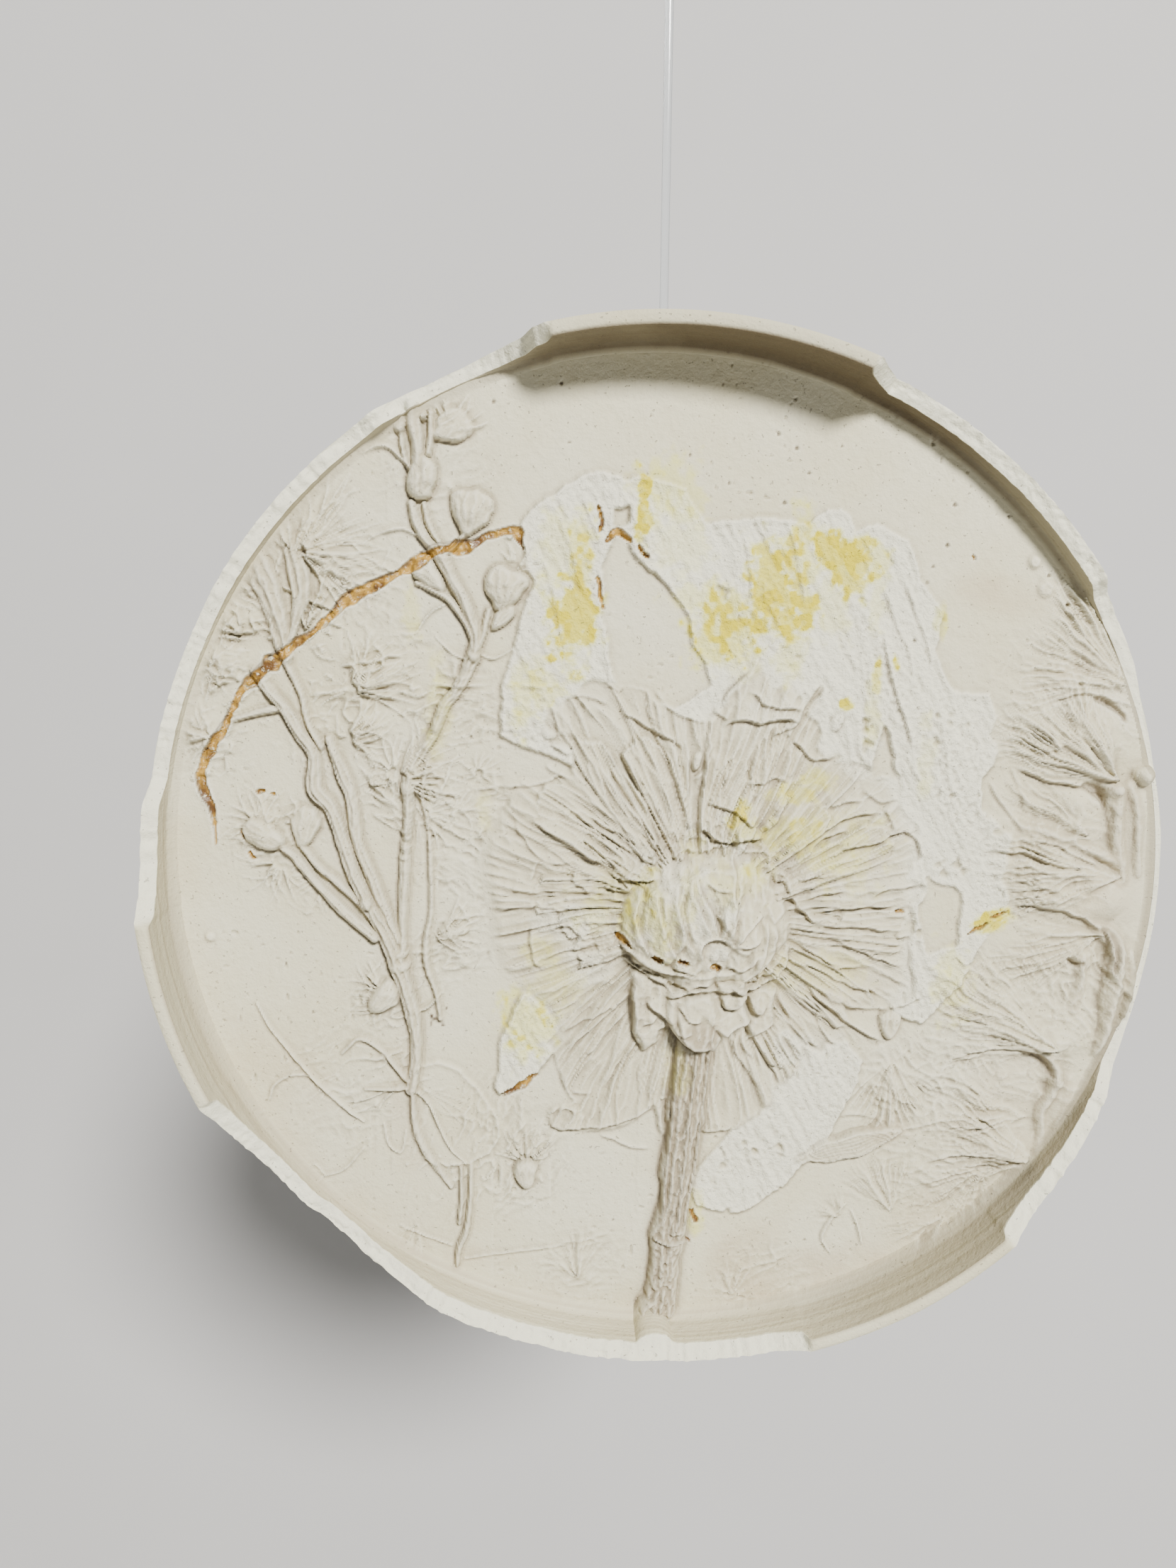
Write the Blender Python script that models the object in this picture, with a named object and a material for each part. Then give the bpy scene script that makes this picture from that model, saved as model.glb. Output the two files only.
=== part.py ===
"""A round plaster relief with cast plant impressions, hung on a clear rod.

The dish is one cast: a flat field inside a rim that is broken away for much of its way
round, with a large open flower, stems, buds and leaves standing out of the field.
+X is to the right and +Z up as the relief is looked at, and its face looks towards -Y.
The origin is the flat top end of the rod, where the relief is held.
"""
import math

import bmesh
import bpy
from mathutils import Matrix, Vector

# Sizes of the dish, in metres
DISC_RADIUS = 0.200
PLATE_THICKNESS = 0.008
RIM_HEIGHT = 0.028
LIP_THICKNESS = 0.0050
WALL_FOOT_THICKNESS = 0.0060
FOOT_FILLET = 0.0030
BACK_CHAMFER = 0.0015
STATIONS = 72

# Sizes of the rod and its socket in the dish's top edge
ROD_DIAMETER = 0.0032
ROD_RISE = 0.130
ROD_OFFSET = -0.0055
SOCKET_DEPTH = 0.025
SOCKET_CLEARANCE = 0.0003
ROD_SIDES = 24

# The relief is drawn on a grid of 200 units to the dish's radius
UNIT = DISC_RADIUS / 200

# How far the hand-made rim runs out of round: lobes, size in units, direction of one lobe
OUT_OF_ROUND = ((2, 2.3, 135), (3, 1.2, 98))

# The broken rim: angle, share of the rim's height that is left, edge lost in units
RIM_LEFT = (
    (0, 0.00, 3.5), (12, 0.00, 3.8), (20, 0.00, 2.4), (24, 0.02, 0.6), (30, 0.06, 0.0),
    (33, 0.20, 0.0), (35, 0.42, 0.0), (43, 0.45, 0.0), (52, 0.46, 0.0), (60, 0.45, 0.0),
    (67, 0.47, 0.0), (68.5, 0.72, 0.0), (69.5, 1.00, 0.0), (104, 1.00, 0.0),
    (105.5, 0.90, 0.0), (106.5, 0.45, 0.0), (109, 0.22, 0.0), (113, 0.06, 0.6),
    (117, 0.05, 0.8), (122, 0.14, 0.0), (124, 0.26, 0.0), (127, 0.15, 0.0),
    (135, 0.16, 0.0), (143, 0.20, 0.0), (150, 0.20, 0.0), (157, 0.16, 0.0),
    (164, 0.16, 0.0), (171, 0.20, 0.0), (173, 0.52, 0.0), (179, 0.54, 0.0),
    (182, 0.66, 0.0), (185, 0.95, 0.0), (190, 0.97, 0.0), (206, 0.97, 0.0),
    (208, 0.78, 0.0), (212, 0.52, 0.0), (215, 0.37, 0.0), (219, 0.24, 0.0),
    (224, 0.20, 0.0), (227, 0.16, 0.0), (231, 0.20, 0.0), (234, 0.34, 0.0),
    (240, 0.58, 0.0), (243, 0.70, 0.0), (250, 0.73, 0.0), (260, 0.76, 0.0),
    (275, 0.78, 0.0), (284, 0.80, 0.0), (286.5, 0.98, 0.0), (300, 1.00, 0.0),
    (313, 0.96, 0.0), (315.5, 0.73, 0.0), (319, 0.60, 0.0), (325.5, 0.46, 0.0),
    (332, 0.25, 0.0), (336, 0.03, 0.4), (340, 0.00, 2.0), (347, 0.00, 3.0),
)
BREAK_UNEVENNESS = 0.035

# Main stem: x, z, half width and how far it stands out, in units
MAIN_STEM = (
    (13, -62, 7.0, 8.0), (12, -76, 7.6, 7.0), (10, -95, 7.6, 6.5), (9, -112, 7.4, 6.5),
    (7, -130, 6.8, 6.0), (5, -146, 6.5, 6.0), (3, -160, 6.5, 6.0), (1, -175, 6.4, 6.5),
    (0, -187, 6.3, 7.5), (0, -194, 4.5, 9.0), (0, -198, 1.6, 10.5),
)
MAIN_STEM_FLANGE = ((-3, -181, 3.0, 5.0), (-6, -188, 2.6, 6.5), (-3, -194, 2.0, 8.0))

# How deep the forms' feet go into the field
FOOT_DEPTH = 2.5
BOSS_ROOT = 5.0

# Stems of the plants at the left
TALL_STEM = (
    (-98, 137, 2.0, 3.2), (-95, 130, 2.1, 3.2), (-90, 121, 2.3, 3.4), (-84, 111, 2.4, 3.6),
    (-79, 102, 2.4, 3.6), (-76, 93, 2.3, 3.4), (-75, 80, 2.4, 3.8), (-80, 70, 2.5, 3.6),
    (-86, 60, 2.6, 3.6), (-92, 51, 2.7, 3.6), (-96, 40, 2.7, 3.4), (-98, 28, 2.5, 3.2),
    (-101, 14, 2.3, 3.0), (-103, -2, 2.3, 3.0), (-104, -18, 2.3, 3.0), (-105, -34, 2.6, 3.2),
)
TALL_STEM_TOPS = (
    ((-96, 172, 2.6, 3.2), (-96, 160, 2.7, 3.6), (-96, 150, 3.0, 4.2)),
    ((-91, 171, 1.6, 2.8), (-91, 160, 1.8, 3.2), (-92, 150, 2.0, 3.8)),
    ((-103, 160, 1.2, 2.0), (-101, 152, 1.4, 2.6), (-98, 147, 1.6, 3.2)),
    ((-91, 137, 1.3, 2.2), (-88, 127, 1.3, 2.2), (-86, 118, 1.3, 2.2)),
)
SLENDER_STEM = (
    (-93, 30, 1.2, 1.4), (-94, 8, 1.2, 1.5), (-94, -14, 1.3, 1.5), (-95, -38, 1.4, 1.8),
    (-93, -49, 1.4, 2.0), (-90, -62, 1.3, 2.0),
)
BUD_STEMS = (
    ((-76, 80, 1.4, 2.6), (-80, 92, 1.4, 2.6), (-86, 99, 1.3, 2.4), (-91, 104, 1.2, 2.2)),
    ((-75, 80, 1.3, 2.4), (-72, 89, 1.3, 2.6), (-71, 98, 1.3, 2.6)),
    ((-89, 121, 1.2, 2.2), (-83, 122, 1.1, 2.2), (-79, 127, 1.2, 2.4)),
)
THICK_STEM = (
    (-157, 73, 2.7, 3.4), (-150, 63, 2.7, 3.4), (-143, 51, 2.6, 3.4), (-137, 40, 2.7, 3.4),
    (-133, 28, 2.8, 3.6), (-128, 16, 3.0, 3.8), (-123, 4, 3.1, 4.0), (-118, -10, 3.4, 4.4),
    (-113, -22, 3.7, 4.8), (-108, -34, 4.0, 5.0), (-104, -47, 3.7, 4.6), (-102, -58, 3.2, 4.2),
    (-101, -70, 2.6, 3.6), (-101, -82, 2.2, 3.2), (-103, -92, 1.8, 2.8),
)
SIDE_STEMS = (
    ((-141, 76, 1.5, 2.2), (-138, 60, 1.7, 2.4), (-135, 48, 1.9, 2.6), (-133, 34, 2.0, 2.8)),
    ((-162, 118, 1.0, 1.6), (-153, 103, 1.2, 2.0), (-149, 89, 1.4, 2.2), (-144, 73, 1.5, 2.2)),
    ((-164, 57, 1.3, 2.0), (-156, 59, 1.3, 2.2), (-148, 61, 1.3, 2.4)),
    ((-152, 11, 1.9, 3.0), (-144, 4, 2.1, 3.4), (-135, -6, 2.2, 3.6), (-126, -16, 2.5, 4.0),
     (-116, -27, 2.8, 4.4)),
    ((-142, 9, 1.5, 2.6), (-134, 2, 1.5, 2.8), (-124, -9, 1.6, 3.0), (-116, -20, 1.8, 3.4)),
    ((-78, -124, 1.2, 2.0), (-78, -140, 1.4, 2.4), (-81, -154, 1.5, 2.6), (-84, -167, 1.2, 2.0)),
)
TENDRILS = (
    ((-103, -91, 0.9, 1.5), (-112, -91, 0.8, 1.3), (-120, -96, 0.7, 1.1), (-128, -98, 0.6, 0.8)),
    ((-102, -88, 0.9, 1.5), (-109, -79, 0.9, 1.3), (-117, -71, 0.8, 1.1), (-125, -71, 0.6, 0.8)),
    ((-101, 152, 0.9, 1.8), (-106, 156, 0.9, 1.4), (-115, 155, 0.6, 0.8)),
    ((-93, 124, 0.9, 1.8), (-99, 127, 0.9, 1.4), (-108, 126, 0.8, 1.2), (-115, 123, 0.6, 0.8)),
    ((-75, 81, 0.9, 1.6), (-66, 81, 0.9, 1.3), (-58, 85, 0.6, 0.8)),
    ((-160, -58, 0.8, 1.0), (-156, -68, 1.0, 1.4), (-147, -81, 1.3, 1.8), (-138, -92, 1.5, 2.0),
     (-130, -100, 1.4, 1.8), (-121, -107, 0.8, 1.0)),
    ((-75, -165, 0.8, 1.2), (-57, -164, 0.8, 1.2), (-40, -161, 0.6, 0.8)),
)

# Stems of the plants at the right
RIGHT_STEMS = (
    ((175, 30, 4.0, 6.0), (176, 16, 3.6, 5.5), (178, 4, 3.4, 5.0), (182, -12, 3.2, 4.5)),
    ((186, 26, 2.4, 3.5), (187, 12, 2.6, 4.0), (190, -2, 2.4, 3.5)),
    ((176, -28, 3.0, 4.5), (184, -36, 4.6, 6.5), (186, -48, 4.8, 7.0), (185, -60, 4.4, 6.5),
     (181, -74, 3.6, 5.0)),
    ((152, -78, 3.2, 4.5), (159, -82, 3.4, 5.5), (162, -92, 3.2, 5.5), (159, -104, 3.0, 4.5),
     (157, -117, 2.6, 3.5)),
)

# Buds and bosses: x, z, half width, half length, lean from upright, how far it stands out
BUDS = (
    (-94, 144, 6.0, 8.5, 12, 6.5), (-103, 165, 3.2, 4.5, -15, 3.8), (-86, 163, 4.5, 6.5, -70, 4.0),
    (-74, 133, 6.0, 8.0, -20, 5.0), (-64, 108, 8.0, 9.0, -20, 5.0), (-65, 97, 4.0, 7.0, -60, 3.4),
    (-92, 107, 3.4, 6.5, 55, 3.2), (-112, -54, 5.0, 8.0, 40, 4.5), (-56, -128, 5.0, 7.5, 0, 5.0),
    (-142, 14, 6.0, 7.0, 10, 4.6), (-157, 12, 5.0, 6.0, 70, 4.0), (-97, -28, 3.0, 6.0, 60, 2.6),
    (187, 36, 4.5, 4.0, 0, 6.0), (161, -9, 9.0, 8.0, 70, 5.0), (165, -39, 6.0, 5.5, 80, 3.5),
    (151, -124, 5.0, 7.0, 50, 4.5), (-75, 80, 2.6, 2.8, 0, 4.6), (-64, 108, 2.4, 2.6, 0, 7.2),
)

# Fans of rays: centre x, z, inner and outer reach, from and to angle, rays, height at the root
FANS = (
    (176, 33, 4, 50, 122, 184, 6, 8.0), (184, 68, 5, 45, 118, 196, 5, 3.2),
    (180, -2, 6, 46, 158, 200, 4, 6.0), (172, -20, 4, 36, 150, 190, 3, 4.0),
    (155, -76, 4, 48, 122, 196, 5, 5.0), (154, -124, 4, 46, 140, 182, 4, 4.5),
    (-141, 118, 2, 22, -30, 210, 7, 3.2), (-158, 92, 2, 16, 60, 250, 5, 3.2),
    (-166, 78, 2, 17, 100, 230, 4, 2.8), (-116, 70, 2, 14, -20, 200, 5, 2.8),
    (-121, 50, 2, 12, -60, 160, 4, 2.6), (-114, 33, 2, 11, -40, 170, 4, 2.2),
    (-173, 52, 2, 17, 150, 260, 4, 2.6), (-142, 8, 2, 16, 30, 150, 4, 3.2),
    (-157, 8, 2, 12, 60, 200, 4, 2.8), (-97, 33, 2, 11, -50, 60, 4, 2.0),
    (-93, -28, 2, 16, -30, 50, 3, 1.8), (-56, -124, 2, 18, 45, 130, 4, 2.6),
    (-147, 84, 4, 30, 68, 112, 3, 2.8),
)

# The large flower
FLOWER_CENTRE = (13, -20)
RECEPTACLE = (14, -19, 30, 25, 13)
CALYX_ARC = ((-21, -26), (-14, -36), (-3, -43), (12, -47), (28, -46), (41, -39), (48, -29))
CALYX_HALF_WIDTH = 4.0
CALYX_LIFT = 9.5
# Its petals: root x, z, tip x, z, full width, height at the root, ridges
PETALS = (
    (-14, -6, -72, 12, 30, 5.0, 3), (-12, 2, -60, 36, 26, 5.4, 3), (-6, 6, -38, 62, 30, 5.6, 3),
    (2, 8, -12, 70, 28, 5.4, 3), (10, 10, 12, 62, 20, 6.0, 3), (20, 10, 36, 66, 28, 6.0, 3),
    (28, 10, 56, 62, 20, 5.6, 2), (36, 4, 80, 42, 24, 5.6, 3), (40, -2, 94, 28, 24, 5.8, 3),
    (44, -10, 100, 4, 24, 6.0, 3), (46, -18, 98, -16, 22, 6.0, 3), (46, -27, 95, -38, 24, 6.0, 3),
    (43, -36, 99, -58, 24, 5.8, 3), (40, -42, 88, -76, 22, 5.6, 2), (34, -48, 66, -92, 20, 5.4, 2),
    (28, -52, 44, -104, 20, 5.2, 2), (-2, -52, -12, -104, 18, 4.8, 2),
    (-10, -48, -32, -100, 22, 4.8, 2), (-16, -43, -48, -88, 22, 4.8, 2),
    (-20, -38, -56, -66, 22, 4.8, 2), (-20, -30, -66, -42, 26, 5.0, 3),
    (-18, -20, -74, -18, 28, 5.0, 3),
)
# Sepals under it: x, z, half width, half length, lean, how far it stands out
SEPALS = (
    (10, -63, 10.0, 10.0, 0, 8.0), (-9, -63, 4.5, 13.0, -4, 5.5), (29, -63, 5.0, 12.0, 14, 6.0),
    (38, -56, 4.0, 10.0, 30, 5.0),
)

# Single leaves: root x, z, tip x, z, full width, height at the root, ridges
LEAVES = (
    (57, -124, 96, -113, 11, 2.4, 3), (-101, -84, -66, -112, 34, 2.6, 2),
    (-100, -94, -78, -125, 16, 3.4, 1),
)

MATERIALS = {
    "plaster": ((0.74, 0.71, 0.66), 0.85, 0.0, 1.0),
    "clear_acrylic": ((0.90, 0.93, 0.95), 0.08, 0.0, 0.35),
}


def material(name):
    """A plain Principled material with the colour and finish kept under this name."""
    found = bpy.data.materials.get(name)
    if found:
        return found
    colour, roughness, metallic, alpha = MATERIALS[name]
    made = bpy.data.materials.new(name)
    made.use_nodes = True
    shader = made.node_tree.nodes["Principled BSDF"]
    shader.inputs["Base Color"].default_value = (*colour, 1.0)
    shader.inputs["Roughness"].default_value = roughness
    shader.inputs["Metallic"].default_value = metallic
    shader.inputs["Alpha"].default_value = alpha
    return made


def object_from(mesh_maker, name):
    """A new object whose mesh is what mesh_maker builds in a bmesh."""
    built = bmesh.new()
    mesh_maker(built)
    bmesh.ops.recalc_face_normals(built, faces=built.faces)
    mesh = bpy.data.meshes.new(name)
    built.to_mesh(mesh)
    built.free()
    made = bpy.data.objects.new(name, mesh)
    bpy.context.scene.collection.objects.link(made)
    return made


def on_face(x, z, lift=0.0):
    """A point of the relief, drawn in units, in the dish's own frame."""
    return Vector((x * UNIT, -lift * UNIT, z * UNIT))


def runout(angle):
    """How far the rim stands outside its true circle at this angle in degrees."""
    total = 0.0
    for lobes, size, direction in OUT_OF_ROUND:
        total += size * UNIT * math.cos(math.radians(lobes * (angle - direction)))
    return total


def rim_left(angle):
    """The share of the rim's height left at this angle, and the edge lost there in units."""
    last = RIM_LEFT[-1]
    before = (last[0] - 360, last[1], last[2])
    for after in RIM_LEFT + ((RIM_LEFT[0][0] + 360, *RIM_LEFT[0][1:]),):
        if before[0] <= angle <= after[0]:
            part = (angle - before[0]) / (after[0] - before[0])
            share = before[1] + part * (after[1] - before[1])
            return share, before[2] + part * (after[2] - before[2])
        before = after
    return last[1], last[2]


def rim_angles():
    """Even steps round the rim, with the angles at which its break changes direction."""
    even = [i * 360 / STATIONS for i in range(STATIONS)]
    breaks = [angle for angle, _, _ in RIM_LEFT]
    kept = [a for a in even if min(abs(a - b) for b in breaks) > 0.9]
    return sorted(kept + breaks)


def rim_profile(angle):
    """The dish's section at this angle, from its back to the field, as radius and depth."""
    share, lost = rim_left(angle)
    whole = share > 0.9
    uneven = 0.0 if whole else BREAK_UNEVENNESS * math.sin(angle * 1.9) * math.sin(angle * 0.7)
    height = max(share + uneven, 0.0) * RIM_HEIGHT
    outer = DISC_RADIUS - lost * UNIT
    draft = (WALL_FOOT_THICKNESS - LIP_THICKNESS) * min(height / RIM_HEIGHT, 1.0)
    inner = DISC_RADIUS - WALL_FOOT_THICKNESS + draft
    inner_height = height if whole else height * 0.9
    fillet = min(FOOT_FILLET, 0.6 * inner_height + 0.0004)
    outer_height = max(height, FOOT_FILLET * 0.2)
    return (
        (outer - BACK_CHAMFER, -PLATE_THICKNESS),
        (outer, -PLATE_THICKNESS + BACK_CHAMFER),
        (outer, outer_height - (0 if whole else LIP_THICKNESS * 0.1)),
        (min(inner, outer - LIP_THICKNESS * 0.3), max(inner_height, FOOT_FILLET * 0.3)),
        (DISC_RADIUS - WALL_FOOT_THICKNESS - FOOT_FILLET * 0.2, fillet * 0.5),
        (DISC_RADIUS - WALL_FOOT_THICKNESS - FOOT_FILLET, 0.0),
    )


def make_dish():
    """The plain dish: its section carried round the rim, closed by the field and the back."""
    def build(mesh):
        rings = []
        for angle in rim_angles():
            turn = math.radians(angle)
            ring = []
            for radius, depth in rim_profile(angle):
                reach = radius + runout(angle)
                ring.append(mesh.verts.new((reach * math.cos(turn), -depth, reach * math.sin(turn))))
            rings.append(ring)
        for one, other in zip(rings, rings[1:] + rings[:1]):
            for i in range(len(one) - 1):
                mesh.faces.new((one[i], other[i], other[i + 1], one[i + 1]))
        mesh.faces.new([ring[0] for ring in rings])
        mesh.faces.new([ring[-1] for ring in reversed(rings)])
    return object_from(build, "plaster_relief")


def stem(points):
    """A stem that lies along the field, half sunk in it, as a tube of changing width."""
    curve = bpy.data.curves.new("stem", "CURVE")
    curve.dimensions = "3D"
    curve.bevel_depth = UNIT
    curve.bevel_resolution = 1
    curve.use_fill_caps = True
    spline = curve.splines.new("POLY")
    spline.points.add(len(points) - 1)
    for point, (x, z, half_width, lift) in zip(spline.points, points):
        point.co = (*on_face(x, z, lift - half_width), 1.0)
        point.radius = half_width
    tube = bpy.data.objects.new("stem", curve)
    bpy.context.scene.collection.objects.link(tube)
    evaluated = tube.evaluated_get(bpy.context.evaluated_depsgraph_get())
    mesh = bpy.data.meshes.new_from_object(evaluated)
    welded = bmesh.new()
    welded.from_mesh(mesh)
    bmesh.ops.remove_doubles(welded, verts=welded.verts, dist=0.00001)
    bmesh.ops.recalc_face_normals(welded, faces=welded.faces)
    welded.to_mesh(mesh)
    welded.free()
    made = bpy.data.objects.new("stem", mesh)
    bpy.context.scene.collection.objects.link(made)
    made.matrix_world = tube.matrix_world
    bpy.data.objects.remove(tube)
    return made


def boss(x, z, half_width, half_length, lean, lift, segments=8, rings=6):
    """A bud or boss: an egg that lies on the field, its underside sunk in the plate."""
    half_depth = min(half_width, (lift + BOSS_ROOT) / 2)
    place = Matrix.Translation(on_face(x, z, lift - half_depth))
    turned = place @ Matrix.Rotation(math.radians(-lean), 4, "Y")
    sized = turned @ Matrix.Diagonal((half_width * UNIT, half_depth * UNIT, half_length * UNIT, 1))

    def build(mesh):
        bmesh.ops.create_uvsphere(mesh, u_segments=segments, v_segments=rings, radius=1, matrix=sized)
    return object_from(build, "boss")


def inside_rim(x, z):
    """The point itself, or the nearest one to it that is clear of the rim's foot."""
    wall_foot = (DISC_RADIUS - WALL_FOOT_THICKNESS - FOOT_FILLET) / UNIT
    pull = min(1.0, wall_foot / math.hypot(x, z))
    return x * pull, z * pull


def ridged_sheet(rows):
    """A closed thin body: rows of points drawn in units, over a flat foot sunk in the field."""
    def build(mesh):
        top = [[mesh.verts.new(on_face(*inside_rim(x, z), lift)) for x, z, lift in row]
               for row in rows]
        for one, other in zip(top, top[1:]):
            for i in range(len(one) - 1):
                mesh.faces.new((one[i], one[i + 1], other[i + 1], other[i]))
        edge = top[0] + [row[-1] for row in top[1:]] + top[-1][-2::-1] + [r[0] for r in top[-2:0:-1]]
        foot = [mesh.verts.new((v.co.x, FOOT_DEPTH * UNIT, v.co.z)) for v in edge]
        for i, corner in enumerate(edge):
            j = (i + 1) % len(edge)
            mesh.faces.new((corner, edge[j], foot[j], foot[i]))
        mesh.faces.new(foot)
    return object_from(build, "sheet")


def petal(root_x, root_z, tip_x, tip_z, width, root_lift, ridges, rows=4):
    """A ridged petal from its root to its tip, widest past the middle and lowest at the tip."""
    along = Vector((tip_x - root_x, tip_z - root_z))
    across = Vector((-along.y, along.x)).normalized()
    points = []
    for i in range(rows):
        t = i / (rows - 1)
        half = width / 2 * (0.34 + 1.5 * t - 1.12 * t * t)
        crown = root_lift * (1 - t) ** 1.3 + 1.3 * math.sin(math.pi * t) + 0.9
        row = []
        for j in range(2 * ridges + 1):
            u = j / ridges - 1
            reach = t - 0.06 * u * u * t
            lift = crown * (1 - 0.45 * u * u) + (0.55 if j % 2 else 0.0)
            row.append((root_x + along.x * reach + across.x * half * u,
                        root_z + along.y * reach + across.y * half * u, lift))
        points.append(row)
    return ridged_sheet(points)


def fan(x, z, inner, outer, start, stop, rays, root_lift):
    """A flower head pressed flat: ridged rays that spread from one side of its centre."""
    points = []
    for t in (0.0, 0.45, 1.0):
        row = []
        for j in range(2 * rays + 1):
            turn = math.radians(start + (stop - start) * j / (2 * rays))
            edge = 0.0 if j in (0, 2 * rays) else 1.0
            reach = inner + (outer - inner) * t * (1.0 if j % 2 else 0.86)
            lift = (root_lift * (1 - t) ** 1.2 + 0.7) * (0.6 + 0.4 * edge)
            lift += 0.5 if j % 2 else 0.0
            row.append((x + reach * math.cos(turn), z + reach * math.sin(turn), lift))
        points.append(row)
    return ridged_sheet(points)


def calyx_rim():
    """The raised lower edge of the large flower's middle."""
    ends = len(CALYX_ARC) - 1
    points = []
    for i, (x, z) in enumerate(CALYX_ARC):
        taper = 0.55 + 0.45 * math.sin(math.pi * i / ends)
        points.append((x, z, CALYX_HALF_WIDTH * taper, CALYX_LIFT * taper))
    return stem(points)


def make_relief():
    """Every raised form of the field, still apart from the dish."""
    forms = [stem(MAIN_STEM), stem(MAIN_STEM_FLANGE), stem(TALL_STEM), stem(SLENDER_STEM)]
    for group in (TALL_STEM_TOPS, BUD_STEMS, SIDE_STEMS, TENDRILS, RIGHT_STEMS):
        forms += [stem(points) for points in group]
    forms.append(stem(THICK_STEM))
    forms += [boss(*bud) for bud in BUDS + SEPALS]
    forms += [fan(*rays) for rays in FANS]
    forms += [petal(*blade) for blade in PETALS + LEAVES]
    x, z, half_width, half_length, lift = RECEPTACLE
    forms.append(boss(x, z, half_width, half_length, 0, lift, segments=18, rings=9))
    forms.append(calyx_rim())
    return forms


def united(body, forms):
    """Join every form to the body in one closed solid."""
    bpy.ops.object.select_all(action="DESELECT")
    for form in forms:
        form.select_set(True)
    bpy.context.view_layer.objects.active = forms[0]
    bpy.ops.object.join()
    union = body.modifiers.new("relief", "BOOLEAN")
    union.operation = "UNION"
    union.solver = "EXACT"
    union.use_self = True
    union.object = forms[0]
    apply_modifiers(body)
    bpy.data.objects.remove(forms[0])
    fill_pockets(body)


def fill_pockets(body):
    """Fill any small hollow that the joined forms shut between them: keep the outer skin only."""
    skin = bmesh.new()
    skin.from_mesh(body.data)
    outermost = max(skin.verts, key=lambda v: v.co.length)
    reached = {outermost}
    waiting = [outermost]
    while waiting:
        corner = waiting.pop()
        for edge in corner.link_edges:
            other = edge.other_vert(corner)
            if other not in reached:
                reached.add(other)
                waiting.append(other)
    pockets = [v for v in skin.verts if v not in reached]
    bmesh.ops.delete(skin, geom=pockets, context="VERTS")
    skin.to_mesh(body.data)
    skin.free()


def apply_modifiers(target):
    """Make what the modifiers give the object's own mesh."""
    bpy.ops.object.select_all(action="DESELECT")
    target.select_set(True)
    bpy.context.view_layer.objects.active = target
    for modifier in list(target.modifiers):
        bpy.ops.object.modifier_apply(modifier=modifier.name)


def rod_length():
    """From the flat end in the socket's foot to the end at the origin."""
    return ROD_RISE + SOCKET_DEPTH - SOCKET_CLEARANCE


def make_rod():
    """The straight clear rod, its flat top end at the origin."""
    bpy.ops.mesh.primitive_cylinder_add(vertices=ROD_SIDES, radius=ROD_DIAMETER / 2,
                                        depth=rod_length(), location=(0, 0, -rod_length() / 2))
    rod = bpy.context.object
    rod.name = "hanging_rod"
    rod.data.name = "hanging_rod"
    rod.data.materials.append(material("clear_acrylic"))
    rod.data.shade_smooth()
    rod.data.set_sharp_from_angle(angle=math.radians(35))
    return rod


def make_socket_cutter():
    """The bore for the rod, down into the thickness of the plate at the dish's top."""
    above = 0.010
    depth = SOCKET_DEPTH + above
    bpy.ops.mesh.primitive_cylinder_add(
        vertices=ROD_SIDES, radius=ROD_DIAMETER / 2 + SOCKET_CLEARANCE, depth=depth,
        location=(0, 0, -ROD_RISE - SOCKET_DEPTH + depth / 2))
    cutter = bpy.context.object
    cutter.name = "rod_socket_cutter"
    cutter.hide_render = True
    cutter.display_type = "WIRE"
    return cutter


def build():
    """Clear the scene and model the relief and its rod."""
    for old in list(bpy.data.objects):
        bpy.data.objects.remove(old)
    parts = bpy.data.collections.new("hanging_plaster_relief")
    cutters = bpy.data.collections.new("cutters")
    for collection in (parts, cutters):
        bpy.context.scene.collection.children.link(collection)

    rod = make_rod()
    dish = make_dish()
    united(dish, make_relief())
    top_of_dish = DISC_RADIUS + runout(90)
    dish.location = (-ROD_OFFSET, -PLATE_THICKNESS / 2, -ROD_RISE - top_of_dish)
    dish.data.materials.clear()
    dish.data.materials.append(material("plaster"))

    socket = make_socket_cutter()
    bore = dish.modifiers.new("rod socket", "BOOLEAN")
    bore.operation = "DIFFERENCE"
    bore.solver = "EXACT"
    bore.object = socket

    for made, collection in ((rod, parts), (dish, parts), (socket, cutters)):
        for old in list(made.users_collection):
            old.objects.unlink(made)
        collection.objects.link(made)


build()
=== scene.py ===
"""The looks of a round plaster relief with plant impressions, hung on a clear rod."""
import math

import bpy
import numpy as np
from mathutils import Matrix, Vector


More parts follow.
